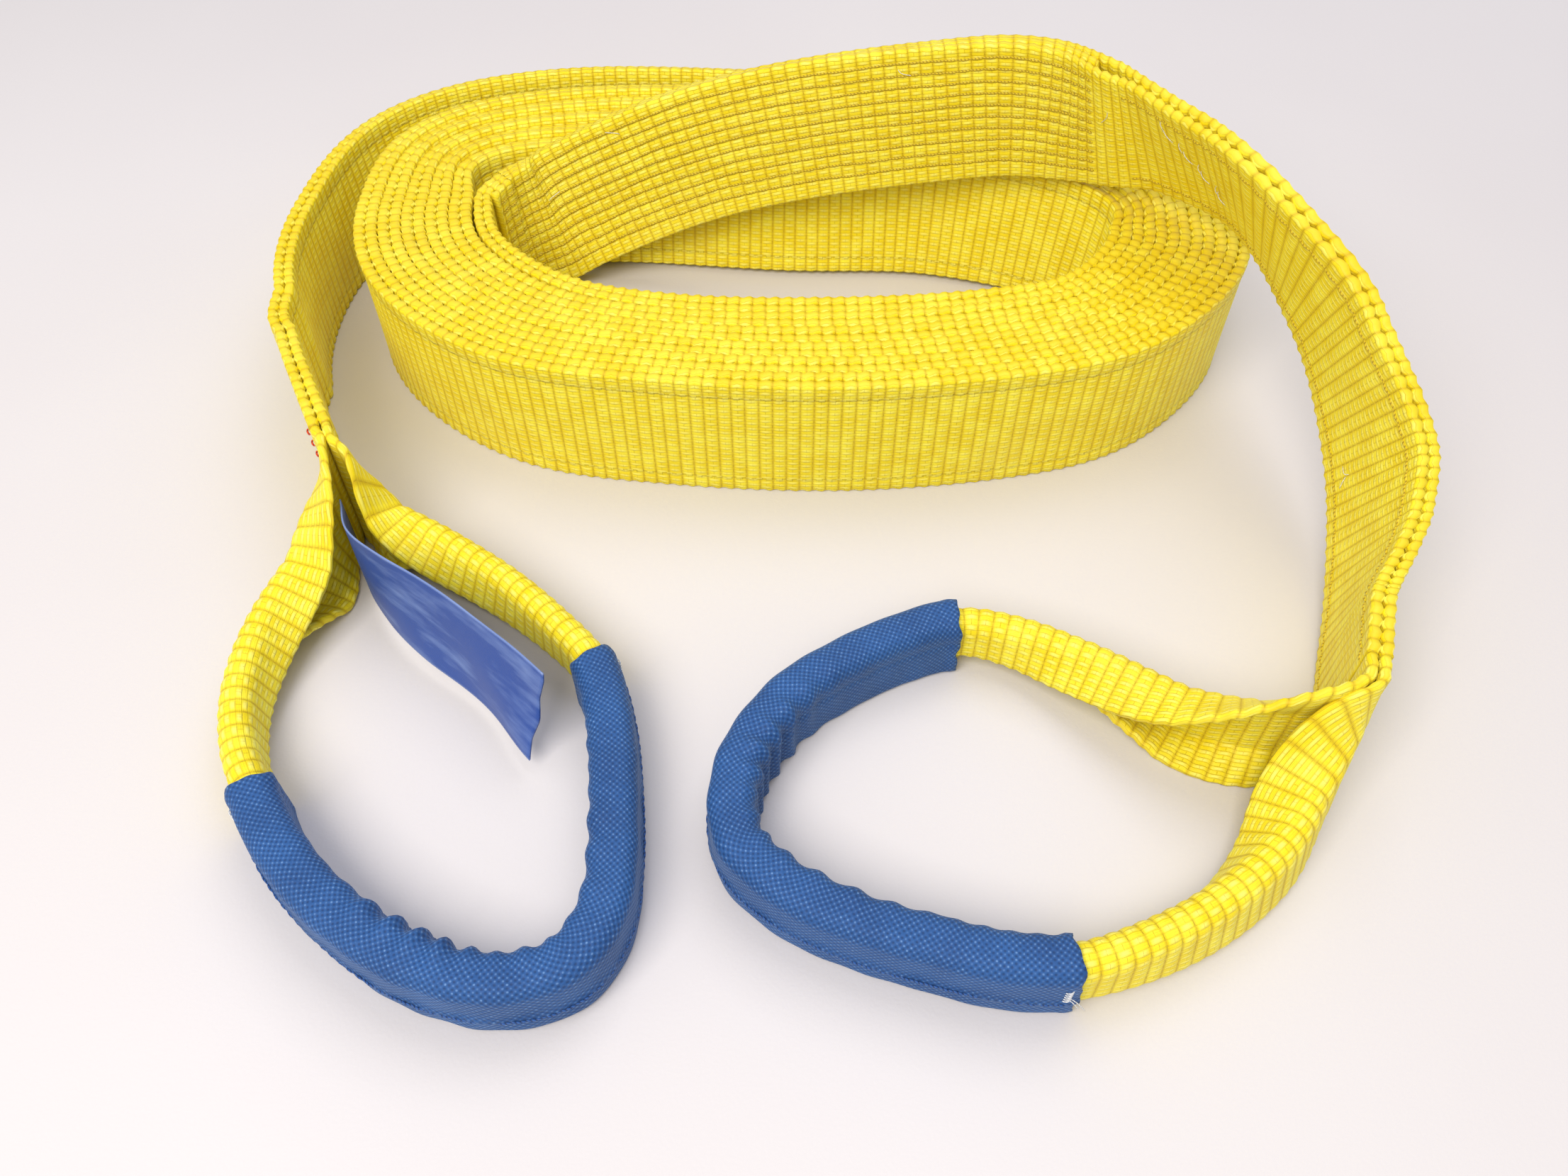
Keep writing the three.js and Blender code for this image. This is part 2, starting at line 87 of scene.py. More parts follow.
# ---- curves ----
def through(stations: Array, t: Array, closed: bool = False) -> Array:
    """Uniform Catmull-Rom curve through stations, with mirrored open ends.

    Args:
        stations: one row per station.
        t: places along the curve, counted in stations.
        closed: whether the last station joins the first.

    Returns:
        One row per place.
    """
    t = np.asarray(t, float)
    n = len(stations)
    if closed:
        i = np.floor(t).astype(int)
        a, b, c, d = (stations[(i + k) % n] for k in (-1, 0, 1, 2))
    else:
        ends = 2 * stations[0] - stations[1], 2 * stations[-1] - stations[-2]
        line = np.vstack([ends[0], stations, ends[1]])
        i = np.clip(np.floor(t).astype(int), 0, n - 2)
        a, b, c, d = (line[i + k] for k in (0, 1, 2, 3))
    f = (t - i)[:, None]
    square = (2 * a - 5 * b + 4 * c - d) * f**2
    cube = (3 * b - a - 3 * c + d) * f**3
    return 0.5 * (2 * b + (c - a) * f + square + cube)


def smooth(x: Array) -> Array:
    """Smoothstep: 3x^2 - 2x^3 on x held between 0 and 1."""
    x = np.clip(x, 0, 1)
    return x * x * (3 - 2 * x)


def unit(v: Array) -> Array:
    """Rows of v scaled to length one."""
    return v / np.maximum(np.linalg.norm(v, axis=-1, keepdims=True), 1e-12)


def waver(s: Array, seed: float, wave: float) -> Array:
    """Slow uneven wander from -1 to 1: three sines whose wavelengths share no common beat.

    Args:
        s: length along the piece, mm.
        seed: phase that makes each piece wander its own way.
        wave: main wavelength, mm.

    Returns:
        The wander at each place.
    """
    turn = 2 * math.pi * s / wave
    slow = np.sin(turn + seed) + 0.6 * np.sin(1.73 * turn + 2.1 * seed)
    return (slow + 0.4 * np.sin(0.61 * turn + 3.7 * seed)) / 2


# ---- meshes ----
@dataclass
class Cloth:
    """A grid surface with two skins, its UVs in metres, ready to become one mesh.

    Attributes:
        front: rows of points on the outward skin, mm.
        back: the matching points on the other skin, mm.
        uv: (along, across) of each point, mm.
        ring: whether each row closes on itself, as in a sleeve.
    """

    front: Array
    back: Array
    uv: Array
    ring: bool = False

    def quads(self) -> Array:
        """Both skins, the strips that join them along the edges, and the two ends."""
        n, k = self.front.shape[:2]
        index = np.arange(n * k).reshape(n, k)
        if self.ring:
            index = np.hstack([index, index[:, :1]])
        back = index + n * k
        a, b, c, d = index[:-1, :-1], index[1:, :-1], index[1:, 1:], index[:-1, 1:]
        skin = np.stack([a, b, c, d], -1).reshape(-1, 4)
        parts = [skin, skin[:, ::-1] + n * k]
        if not self.ring:
            parts.append(self.strip(index[:, 0], back[:, 0]))
            parts.append(self.strip(back[:, -1], index[:, -1]))
        parts.append(self.strip(back[0], index[0]))
        parts.append(self.strip(index[-1], back[-1]))
        return np.vstack(parts)

    @staticmethod
    def strip(one: Array, other: Array) -> Array:
        """Quads between two lines of points."""
        return np.stack([one[:-1], other[:-1], other[1:], one[1:]], -1)

    def mesh(self, name: str) -> bpy.types.Object:
        """Builds the object, faces outward, in metres.

        Args:
            name: the piece's name.

        Returns:
            The new object, in the scene.
        """
        points = np.vstack([self.front.reshape(-1, 3), self.back.reshape(-1, 3)])
        uv = np.vstack([self.uv.reshape(-1, 2), self.uv.reshape(-1, 2)]) * MM
        return make_object(name, points * MM, self.quads(), uv)


def outward(points: Array, quads: Array) -> Array:
    """The quads, turned over if the volume they enclose comes out negative."""
    a, b, c, d = (points[quads[:, k]] for k in range(4))
    first = np.einsum("ij,ij->i", a, np.cross(b, c))
    second = np.einsum("ij,ij->i", a, np.cross(c, d))
    return quads[:, ::-1] if (first + second).sum() < 0 else quads


def make_object(name: str, points: Array, quads: Array, uv: Array) -> bpy.types.Object:
    """Puts points and quads into a smooth-shaded mesh object.

    Args:
        name: the piece's name.
        points: one row per vertex, metres.
        quads: four vertex numbers per face.
        uv: one row per vertex, metres.

    Returns:
        The object, linked to the scene.
    """
    quads = np.ascontiguousarray(outward(points, quads))
    mesh = bpy.data.meshes.new(name)
    mesh.vertices.add(len(points))
    mesh.vertices.foreach_set("co", points.astype(np.float32).ravel())
    mesh.loops.add(quads.size)
    mesh.loops.foreach_set("vertex_index", quads.astype(np.int32).ravel())
    mesh.polygons.add(len(quads))
    mesh.polygons.foreach_set("loop_start", np.arange(0, quads.size, 4, dtype=np.int32))
    mesh.polygons.foreach_set("use_smooth", np.ones(len(quads), bool))
    mesh.update(calc_edges=True)
    layer = mesh.uv_layers.new(name="UVMap")
    layer.data.foreach_set("uv", uv[quads.ravel()].astype(np.float32).ravel())
    obj = bpy.data.objects.new(name, mesh)
    bpy.context.scene.collection.objects.link(obj)
    return obj


@dataclass
class Thread:
    """A round thread along a path, its ends closed to a point.

    Attributes:
        path: one row per point, mm.
        radius: one value per point or one for all, mm.
        sides: points round the thread.
    """

    path: Array
    radius: Array | float
    sides: int = 6

    def rings(self) -> tuple[Array, Array]:
        """Rings square to the path, and the length along it at each."""
        step = np.gradient(self.path, axis=0)
        along = unit(step)
        helper = np.where(np.abs(along[:, 2:]) > 0.9, [[1.0, 0, 0]], [[0, 0, 1.0]])
        side = unit(np.cross(along, helper))
        rise = np.cross(side, along)
        angle = np.linspace(0, 2 * math.pi, self.sides, endpoint=False)
        radius = np.broadcast_to(self.radius, len(self.path)).copy()
        radius[[0, -1]] *= 0.15
        round_it = side[:, None] * np.cos(angle)[:, None] + rise[:, None] * np.sin(angle)[:, None]
        length = np.r_[0, np.cumsum(np.linalg.norm(np.diff(self.path, axis=0), axis=1))]
        return self.path[:, None] + round_it * radius[:, None, None], length


def thread_object(name: str, threads: list[Thread]) -> bpy.types.Object:
    """One object from several threads: rings joined by quads, each end closed by quads.

    Args:
        name: the piece's name.
        threads: the threads it is made of; each has an even number of sides.

    Returns:
        The new object.
    """
    points, quads, uvs, base = [], [], [], 0
    for thread in threads:
        rings, length = thread.rings()
        n, k = rings.shape[:2]
        index = base + np.arange(n * k).reshape(n, k)
        wrapped = np.hstack([index, index[:, :1]])
        a, b = wrapped[:-1, :-1], wrapped[1:, :-1]
        c, d = wrapped[1:, 1:], wrapped[:-1, 1:]
        skin = np.stack([a, b, c, d], -1).reshape(-1, 4)
        half = k // 2
        fan = np.array([[j, k - 1 - j, k - 2 - j, j + 1] for j in range(half - 1)])
        mine = np.vstack([skin, index[0][fan][:, ::-1], index[-1][fan]])
        flipped = outward(np.vstack(points + [rings.reshape(-1, 3)]), mine)
        points.append(rings.reshape(-1, 3))
        quads.append(flipped)
        across = np.tile(np.arange(k) / k, (n, 1))
        uvs.append(np.stack([np.repeat(length[:, None], k, 1), across], -1).reshape(-1, 2))
        base += n * k
    return make_object(name, np.vstack(points) * MM, np.vstack(quads), np.vstack(uvs) * MM)


# ---- finishes ----
def linear(hex_colour: str) -> tuple[float, float, float, float]:
    """Turns an sRGB hex colour into linear RGBA, by the sRGB transfer curve."""
    parts = [int(hex_colour[k : k + 2], 16) / 255 for k in (1, 3, 5)]
    red, green, blue = (c / 12.92 if c <= 0.04045 else ((c + 0.055) / 1.055) ** 2.4 for c in parts)
    return red, green, blue, 1.0


@dataclass
class Recipe:
    """A material's node tree under construction.

    Attributes:
        name: the real material's name.
    """

    name: str
    material: bpy.types.Material = field(init=False)

    def __post_init__(self) -> None:
        """Makes an empty material with its output."""
        self.material = bpy.data.materials.new(self.name)
        self.material.use_nodes = True
        self.tree.nodes.clear()

    @property
    def tree(self) -> bpy.types.NodeTree:
        """The material's node tree."""
        return self.material.node_tree

    def add(self, kind: str, out: int | str = 0, /, **given: Any) -> bpy.types.NodeSocket:
        """Adds one node; a key that names an input sets or links it, any other sets a property.

        Args:
            kind: node type, without its ShaderNode prefix.
            out: which output to hand back.
            given: inputs by name with _ for a space, or by number as i0, i1; and properties.

        Returns:
            The node's output socket.
        """
        node = self.tree.nodes.new("ShaderNode" + kind)
        inputs = {}
        for key, value in given.items():
            if hasattr(node, key) and key not in ("color",):
                setattr(node, key, value)
            else:
                inputs[key] = value
        for key, value in inputs.items():
            place = int(key[1:]) if key[0] == "i" and key[1:].isdigit() else key.replace("_", " ")
            socket = node.inputs[place]
            if isinstance(value, bpy.types.NodeSocket):
                self.tree.links.new(value, socket)
            else:
                socket.default_value = value
        return node.outputs[out] if node.outputs else None

    def math(self, operation: str, *values: Any) -> bpy.types.NodeSocket:
        """One Math node on the values given."""
        return self.add("Math", operation=operation, **{f"i{k}": v for k, v in enumerate(values)})

    def mix(self, share: Any, one: Any, other: Any) -> bpy.types.NodeSocket:
        """A blend of two colours, from one to other as share goes from 0 to 1."""
        return self.add("Mix", 2, data_type="RGBA", i0=share, i6=one, i7=other)

    def ramp(self, value: Any, low: float, high: float) -> bpy.types.NodeSocket:
        """A value spread from low..high to 0..1 and held there."""
        return self.add("MapRange", clamp=True, Value=value, From_Min=low, From_Max=high)

    def surface_mm(self) -> tuple[bpy.types.NodeSocket, ...]:
        """The piece's own UV map in millimetres: the vector, along and across."""
        uv = self.add("UVMap", uv_map="UVMap")
        vector = self.add("VectorMath", operation="SCALE", i0=uv, Scale=1000.0)
        split = self.tree.nodes.new("ShaderNodeSeparateXYZ")
        self.tree.links.new(vector, split.inputs[0])
        return vector, split.outputs[0], split.outputs[1]

    def noise(self, vector: Any, scale: float, detail: float = 2.0) -> bpy.types.NodeSocket:
        """Cloudy noise on a vector."""
        return self.add("TexNoise", Vector=vector, Scale=scale, Detail=detail, Roughness=0.55)

    def place(self) -> bpy.types.NodeSocket:
        """Object coordinates, in metres."""
        return self.add("TexCoord", "Object")

    def finish(self, shade: Any, height: Any, **settings: Any) -> bpy.types.Material:
        """Closes the recipe with a bump and a Principled shader.

        Args:
            shade: base colour.
            height: bump height, in millimetres.
            settings: shader inputs by name with _ for a space.

        Returns:
            The material.
        """
        normal = self.add("Bump", Strength=1.0, Distance=MM, Height=height)
        shader = self.add("BsdfPrincipled", Base_Color=shade, Normal=normal, **settings)
        self.add("OutputMaterial", Surface=shader)
        return self.material


@dataclass(frozen=True)
class Webbing:
    """Heavy polyester webbing: ribs across, staggered warp floats on each, a stitched line.

    Attributes:
        name: material name.
        rib: rib pitch, mm.
        float_width: width of one warp float, mm.
        float_highlight: painted highlight, the shine along a float's back.
        crest: colour of the lit floats.
        body: colour between.
        crevice_shade: painted shade between ribs and floats.
        edge_line: distance of the sewn line from each edge, mm; none where zero.
    """

    name: str
    rib: float = 4.7
    float_width: float = 1.25
    float_highlight: str = "#FFFA86"
    crest: str = "#FFF23A"
    body: str = "#F6E012"
    crevice_shade: str = "#BC9204"
    edge_line: float = 6.0

    def material(self) -> bpy.types.Material:
        """Floats from a brick pattern one rib long, on the ribs that the mesh already has, with painted shade
        in the gaps and valleys.
        """
        r = Recipe(self.name)
        vector, along, across = r.surface_mm()
        wobble = r.noise(vector, 0.11, 2.0)
        floats = r.add(
            "TexBrick", "Fac", offset=0.5, offset_frequency=2, Vector=vector, Scale=1.0,
            Mortar_Size=0.16, Mortar_Smooth=0.9, Brick_Width=self.rib, Row_Height=self.float_width,
        )
        fine = r.add(
            "TexBrick", "Fac", offset=0.5, offset_frequency=2, Vector=vector, Scale=1.0,
            Mortar_Size=0.07, Mortar_Smooth=1.0, Brick_Width=self.rib / 2, Row_Height=0.42,
        )
        phase = r.math("MULTIPLY", along, math.pi / self.rib)
        crown = r.math("ABSOLUTE", r.math("SINE", phase))
        valley_shade = r.ramp(crown, 0.5, 0.0)
        # every other rib shifts its floats by half a float pair
        rib_number = r.math("FLOOR", r.math("DIVIDE", along, self.rib))
        shift = r.math("MULTIPLY", rib_number, math.pi)
        pair = r.math("ADD", r.math("MULTIPLY", across, math.pi / self.float_width), shift)
        # lens: where each float's crown catches the light; it carries the painted highlight and also raises
        # the bump
        lens = r.math("MULTIPLY", r.ramp(r.math("SINE", pair), -0.1, 0.9), r.ramp(crown, 0.35, 0.95))
        worn = r.noise(r.place(), 22.0, 3.0)
        colour = r.mix(r.ramp(wobble, 0.42, 0.68), linear(self.body), linear(self.crest))
        # painted shade: the gaps between floats, between fine threads and in the valleys between ribs are
        # mixed towards the crevice colour
        colour = r.mix(r.math("MULTIPLY", floats, 0.2), colour, linear(self.crevice_shade))
        colour = r.mix(r.math("MULTIPLY", fine, 0.1), colour, linear(self.crevice_shade))
        colour = r.mix(r.math("MULTIPLY", valley_shade, 0.55), colour, linear(self.crevice_shade))
        # painted highlight on the floats' crowns
        colour = r.mix(r.math("MULTIPLY", lens, 0.55), colour, linear(self.float_highlight))
        # handling marks: a little greyer and duller in patches
        colour = r.mix(r.math("MULTIPLY", r.ramp(worn, 0.55, 0.8), 0.12), colour, linear("#D9C878"))
        height = r.math("MULTIPLY", r.math("ADD", floats, r.math("MULTIPLY", fine, 0.4)), -0.1)
        height = r.math("ADD", height, r.math("MULTIPLY", lens, 0.16))
        if self.edge_line:
            line = r.math("ABSOLUTE", r.math("SUBTRACT", across, 25.0))
            line = r.math("ABSOLUTE", r.math("SUBTRACT", line, 25.0 - self.edge_line))
            on_line = r.ramp(line, 0.55, 0.35)
            dash = r.ramp(r.math("SINE", r.math("MULTIPLY", along, 2 * math.pi / 3.6)), -0.5, 0.0)
            thread = r.math("MULTIPLY", on_line, dash)
            gap = r.math("SUBTRACT", on_line, thread)
            colour = r.mix(r.math("MULTIPLY", thread, 0.5), colour, linear("#E8DC60"))
            # painted shade where the thread sinks into the web between stitches
            colour = r.mix(r.math("MULTIPLY", gap, 0.35), colour, linear("#9A7C04"))
            height = r.math("ADD", height, r.math("MULTIPLY", thread, 0.25))
        return r.finish(
            colour, height, Roughness=0.5, Specular_IOR_Level=0.35, Sheen_Weight=0.12,
            Sheen_Roughness=0.4, Sheen_Tint=linear("#FFF2A0"),
        )


@dataclass(frozen=True)
class SleeveCloth:
    """Blue woven sleeve cloth: a plain weave of thick yarns, with light flecks painted as highlights on the
    yarn crowns.

    Attributes:
        name: material name.
        yarn: yarn pitch, mm.
        face: main blue.
        crown_highlight: painted highlight on the yarn crowns.
        shade: painted shade in the gaps between yarns.
    """

    name: str
    yarn: float = 0.95
    face: str = "#1F4A84"
    crown_highlight: str = "#769FD2"
    shade: str = "#0E2852"

    def material(self) -> bpy.types.Material:
        """Crowns where the sines along and across agree in sign, as warp over weft."""
        r = Recipe(self.name)
        vector, along, across = r.surface_mm()
        turn = math.pi / self.yarn
        u = r.math("SINE", r.math("MULTIPLY", along, turn))
        v = r.math("SINE", r.math("MULTIPLY", across, turn))
        weave = r.math("MULTIPLY", u, v)
        crown = r.ramp(weave, 0.35, 0.95)
        low = r.ramp(weave, 0.0, -0.9)
        patch = r.noise(r.place(), 60.0, 3.0)
        colour = r.mix(r.ramp(patch, 0.3, 0.75), linear(self.face), linear("#295A99"))
        # painted highlight: light on the yarn crowns, uneven in patches
        uneven = r.math("MULTIPLY", crown, r.ramp(r.noise(vector, 0.5, 2.0), 0.35, 0.7))
        colour = r.mix(r.math("MULTIPLY", uneven, 0.7), colour, linear(self.crown_highlight))
        # painted shade in the gaps between yarns
        colour = r.mix(r.math("MULTIPLY", low, 0.6), colour, linear(self.shade))
        height = r.math("MULTIPLY", weave, 0.1)
        return r.finish(
            colour, height, Roughness=0.62, Specular_IOR_Level=0.3, Sheen_Weight=0.2,
            Sheen_Roughness=0.45, Sheen_Tint=linear("#A8C8F0"),
        )


@dataclass(frozen=True)
class LabelCloth:
    """Coated label cloth: close satin lines, a soft gloss, and pale bands of painted sheen stretched along
    it.

    Attributes:
        line_pitch: from one satin line to the next, mm.
        width: the label, edge to edge, mm.
    """

    name: str
    face: str = "#254B9C"
    pale: str = "#7D99D2"
    line_pitch: float = 0.5
    width: float = 32.0

    def material(self) -> bpy.types.Material:
        """Fine lines along the cloth, and pale bands of painted sheen stretched along it."""
        r = Recipe(self.name)
        vector, _, across = r.surface_mm()
        line = r.math("SINE", r.math("MULTIPLY", across, 2 * math.pi / self.line_pitch))
        # painted sheen: pale bands stretched along the label
        long_way = r.add("Mapping", Vector=vector, Scale=(0.035, 0.16, 1.0))
        sheen_noise = r.noise(long_way, 1.0, 3.0)
        sheen_streaks = r.math("MULTIPLY", r.ramp(sheen_noise, 0.48, 0.78), 0.75)
        colour = r.mix(sheen_streaks, linear(self.face), linear(self.pale))
        colour = r.mix(r.math("MULTIPLY", r.ramp(line, 0.2, 1.0), 0.1), colour, linear("#7FA0DC"))
        rim = r.math("MINIMUM", across, r.math("SUBTRACT", self.width, across))
        colour = r.mix(r.math("MULTIPLY", r.ramp(rim, 0.9, 0.2), 0.45), colour, linear("#9DB4DE"))
        height = r.math("MULTIPLY", line, 0.015)
        return r.finish(colour, height, Roughness=0.38, Specular_IOR_Level=0.5)


@dataclass(frozen=True)
class SewingThread:
    """Twisted polyester sewing thread.

    Attributes:
        name: material name.
        face: colour of the strands.
        shade: painted shade in the grooves of the twist.
        twist: length of one turn of the twist, mm.
    """

    name: str
    face: str
    shade: str
    twist: float = 1.3

    def material(self) -> bpy.types.Material:
        """Diagonal lines, a sine of along over the twist plus one turn round the thread."""
        r = Recipe(self.name)
        _, along, across = r.surface_mm()
        turn = r.math("MULTIPLY", along, 2 * math.pi / self.twist)
        strand = r.math("SINE", r.math("ADD", turn, r.math("MULTIPLY", across, 2 * math.pi)))
        # painted shade on the low side of each strand, in the twist's grooves
        colour = r.mix(r.ramp(strand, 0.1, -0.9), linear(self.face), linear(self.shade))
        height = r.math("MULTIPLY", strand, 0.05)
        return r.finish(colour, height, Roughness=0.5, Specular_IOR_Level=0.35, Sheen_Weight=0.1)


@dataclass(frozen=True)
class Backdrop:
    """Pale cotton backdrop cloth."""

    name: str

    def material(self) -> bpy.types.Material:
        """Pale grey-white with faint clouds and a fine tooth."""
        r = Recipe(self.name)
        cloud = r.noise(r.place(), 2.2, 3.0)
        tooth = r.noise(r.place(), 900.0, 1.0)
        colour = r.mix(r.ramp(cloud, 0.3, 0.7), linear("#D3D0D1"), linear("#D9D7D8"))
        return r.finish(colour, r.math("MULTIPLY", tooth, 0.05), Roughness=0.85)


@dataclass
class Finishes:
    """Every material of the sling, made once."""

    webbing: bpy.types.Material = field(init=False)
    splice: bpy.types.Material = field(init=False)
    sleeve: bpy.types.Material = field(init=False)
    label: bpy.types.Material = field(init=False)
    yellow: bpy.types.Material = field(init=False)
    blue: bpy.types.Material = field(init=False)
    white: bpy.types.Material = field(init=False)
    red: bpy.types.Material = field(init=False)

    def __post_init__(self) -> None:
        """Mixes the materials."""
        self.webbing = Webbing("polyester_webbing").material()
        self.splice = Webbing("polyester_webbing_unlined", edge_line=0.0).material()
        self.sleeve = SleeveCloth("woven_sleeve_cloth").material()
        self.label = LabelCloth("coated_label_cloth").material()
        self.yellow = SewingThread("yellow_sewing_thread", "#D9C024", "#A0840C").material()
        self.blue = SewingThread("blue_sewing_thread", "#2A5AA0", "#12305E").material()
        self.white = SewingThread("white_sewing_thread", "#F2F4F4", "#B9C0C6").material()
        self.red = SewingThread("red_sewing_thread", "#DE4E2A", "#8E2410").material()


# ---- the web's line ----
@dataclass
class Frames:
    """Places along a strip of web, with the direction along it, up its width and off its face.

    Attributes:
        at: points on the lower edge of the outer face, mm.
        along: unit vectors along the strip.
        up: unit vectors across the strip.
        out: unit vectors off its outer face.
        station: the route's own count at each place.
        length: length along the strip at each place, mm.
        loose: air between this turn and the next, mm.
    """

    at: Array
    along: Array
    up: Array
    out: Array
    station: Array
    length: Array
    loose: Array

    @classmethod
    def of(cls, rows: Array, step: float) -> "Frames":
        """Samples rows of x, y, z, lean, station, looseness every step of length, and frames them.

        The side is level and square to the way along; up and out turn from it by the lean.

        Args:
            rows: the route, finer than the step, mm and degrees.
            step: distance between frames, mm.

        Returns:
            The frames.
        """
        run = np.r_[0, np.cumsum(np.linalg.norm(np.diff(rows[:, :3], axis=0), axis=1))]
        count = max(2, round(run[-1] / step))
        length = np.linspace(0, run[-1], count + 1)
        at = np.stack([np.interp(length, run, rows[:, k]) for k in range(6)], 1)
        along = unit(np.gradient(at[:, :3], axis=0))
        side = unit(np.stack([-along[:, 1], along[:, 0], np.zeros(len(along))], 1))
        rise = np.cross(along, side)
        lean = np.radians(at[:, 3:4])
        up = rise * np.cos(lean) + side * np.sin(lean)
        out = side * np.cos(lean) - rise * np.sin(lean)
        return cls(at[:, :3], along, up, out, at[:, 4], length, at[:, 5])

    def cut(self, keep: Array) -> "Frames":
        """Only the frames that a mask keeps."""
        parts = (self.at, self.along, self.up, self.out, self.station, self.length, self.loose)
        return Frames(*(p[keep] for p in parts))

    def place(self, height: Array | float, off: Array | float) -> Array:
        """Points at a height up the width and a distance off the outer face.

        Args:
            height: mm; one value, one per frame, or frames by points.
            off: mm, outwards; the same shapes.

        Returns:
            Frames by points by 3.
        """
        height, off = (np.atleast_2d(np.asarray(v, float)) for v in (height, off))
        shape = np.broadcast_shapes(height.shape, off.shape, (len(self.at), 1))
        height, off = (np.broadcast_to(v, shape)[..., None] for v in (height, off))
        return self.at[:, None] + self.up[:, None] * height + self.out[:, None] * off


@dataclass
class WebLine:
    """The route of the two-ply web, throat to throat, shared with the frame.

    Attributes:
        width: width of the webbing, mm.
        ply: thickness of one ply, mm.
        gap: air between plies, mm.
        turns: full turns of the coil.
        lean: how far the back of the coil leans out, degrees.
        rib: rib pitch, mm; the line is sampled four times a rib.
        splice: strand stations of the overlap's two cut ends.
        closing: stations over which the overlap ply closes on the outer one.
    """

    width: float = 50.0
    ply: float = 3.4
    gap: float = 0.3
    turns: int = 5
    lean: float = 19.0
    rib: float = 4.7
    splice: tuple[float, float] = (1.35, 11.6)
    closing: float = 1.1
    leave: float = 5.79
    inner_turn: Array = field(default_factory=lambda: np.array([
        [0, 47, 4.7], [60, 45.5, 3.8], [111.5, 28.5, 2.7], [129, 5, 1.6], [107.5, -26.5, 0.7],
        [74, -38, 0.8], [20, -44, 0.9], [-37, -42.5, 0.7], [-83.5, -30.5, 1.4],
        [-117, 1, 1.7], [-119, 40, 1.8], [-76, 52, 3.0],
    ], float))
    left_tail: Array = field(default_factory=lambda: np.array([
        [-152.5, -102.5, 0, 0], [-163, -82, 0, 0], [-174.5, -58, 0, 0],
    ], float))
    strand: Array = field(default_factory=lambda: np.array([
        [-107.5, 38.5, 0, 9], [-88, 45, 0.05, 16], [-70, 47, 0.19, 21], [-48, 47.5, 0.39, 21],
        [-27, 47, 0.57, 19], [-4, 46, 0.72, 18], [24, 46, 0.84, 16], [56, 47, 0.93, 13],
        [87, 46.5, 1.02, 7], [114, 41, 1.08, -4], [134, 31, 1.16, -17], [150, 16, 1.23, -27],
        [165, -4, 1.27, -31], [173, -25, 1.22, -26], [180, -47, 1.06, -17],
        [186, -66, 0.85, -9], [189, -86, 0.61, 1], [189.5, -106, 0.38, 9], [187, -126, 0.2, 9],
        [183, -145, 0.08, 5], [177.5, -163, 0.01, 1], [172, -179, 0, 0], [167, -193, 0, 0],
    ], float))

    @property
    def duplex(self) -> float:
        """Thickness of two plies lying together."""
        return 2 * self.ply + self.gap

    def coil(self, p: Array) -> Array:
        """Rows of the outer face after p turns: the inner turn pushed out by the turns left.

        Args:
            p: turns from the outside; below zero it is the left tail.

        Returns:
            Rows of x, y, z and lean.
        """
        t = np.asarray(p, float) * len(self.inner_turn)
        here = through(self.inner_turn, t, True)
        ahead = through(self.inner_turn, t + 0.02, True)
        step = unit(ahead[:, :2] - here[:, :2])
        out = np.stack([-step[:, 1], step[:, 0]], 1)
        tail = np.array([[0.0], [6.7], [11.5], [23.0]])
        spread = np.where(t < 0, through(tail, np.maximum(-t, 0))[:, 0], 0)
        reach = (self.turns - np.asarray(p)) * (self.duplex + here[:, 2]) + self.duplex / 2 + spread
        lean = self.lean * np.maximum(0, out[:, 1]) ** 1.5
        flat = here[:, :2] + out * reach[:, None]
        return np.column_stack([flat, np.zeros(len(t)), lean])

    def frames(self) -> Frames:
        """The whole line: left tail, coil, rising strand and right tail."""
        tail = np.vstack([self.left_tail, self.coil(np.array([-0.25, -0.17]))])
        first = through(tail, np.linspace(0, 3, 400)[:-1])
        turns = np.linspace(-0.25, self.leave, 12000)[:-1]
        coil = self.coil(turns)
        loose = through(self.inner_turn, turns * len(self.inner_turn), True)[:, 2]
        loose = loose * smooth(turns / 0.2) * smooth((self.leave - 0.1 - turns) / 0.15)
        strand = self.strand * [1, 1, self.width, 1]
        strand = np.vstack([self.coil(np.array([self.leave - 0.08, self.leave])), strand])
        t = np.linspace(1, len(strand) - 1, 2400)
        rising = through(strand, t)
        rising[:, 2] = np.maximum(0, rising[:, 2])
        station = [np.full(len(first), -1), np.zeros(len(coil)), t]
        slack = [np.zeros(len(first)), loose, np.zeros(len(t))]
        route = np.vstack([first, coil, rising])
        rows = np.column_stack([route, np.concatenate(station), np.concatenate(slack)])
        return Frames.of(rows, self.rib / 4)

    def overlap_off(self, station: Array) -> Array:
        """Outer face of the overlap ply: over three plies in the splice, over two past it."""
        closing = smooth((station - self.splice[1]) / self.closing)
        return -(self.ply + self.gap) * (2 - closing)


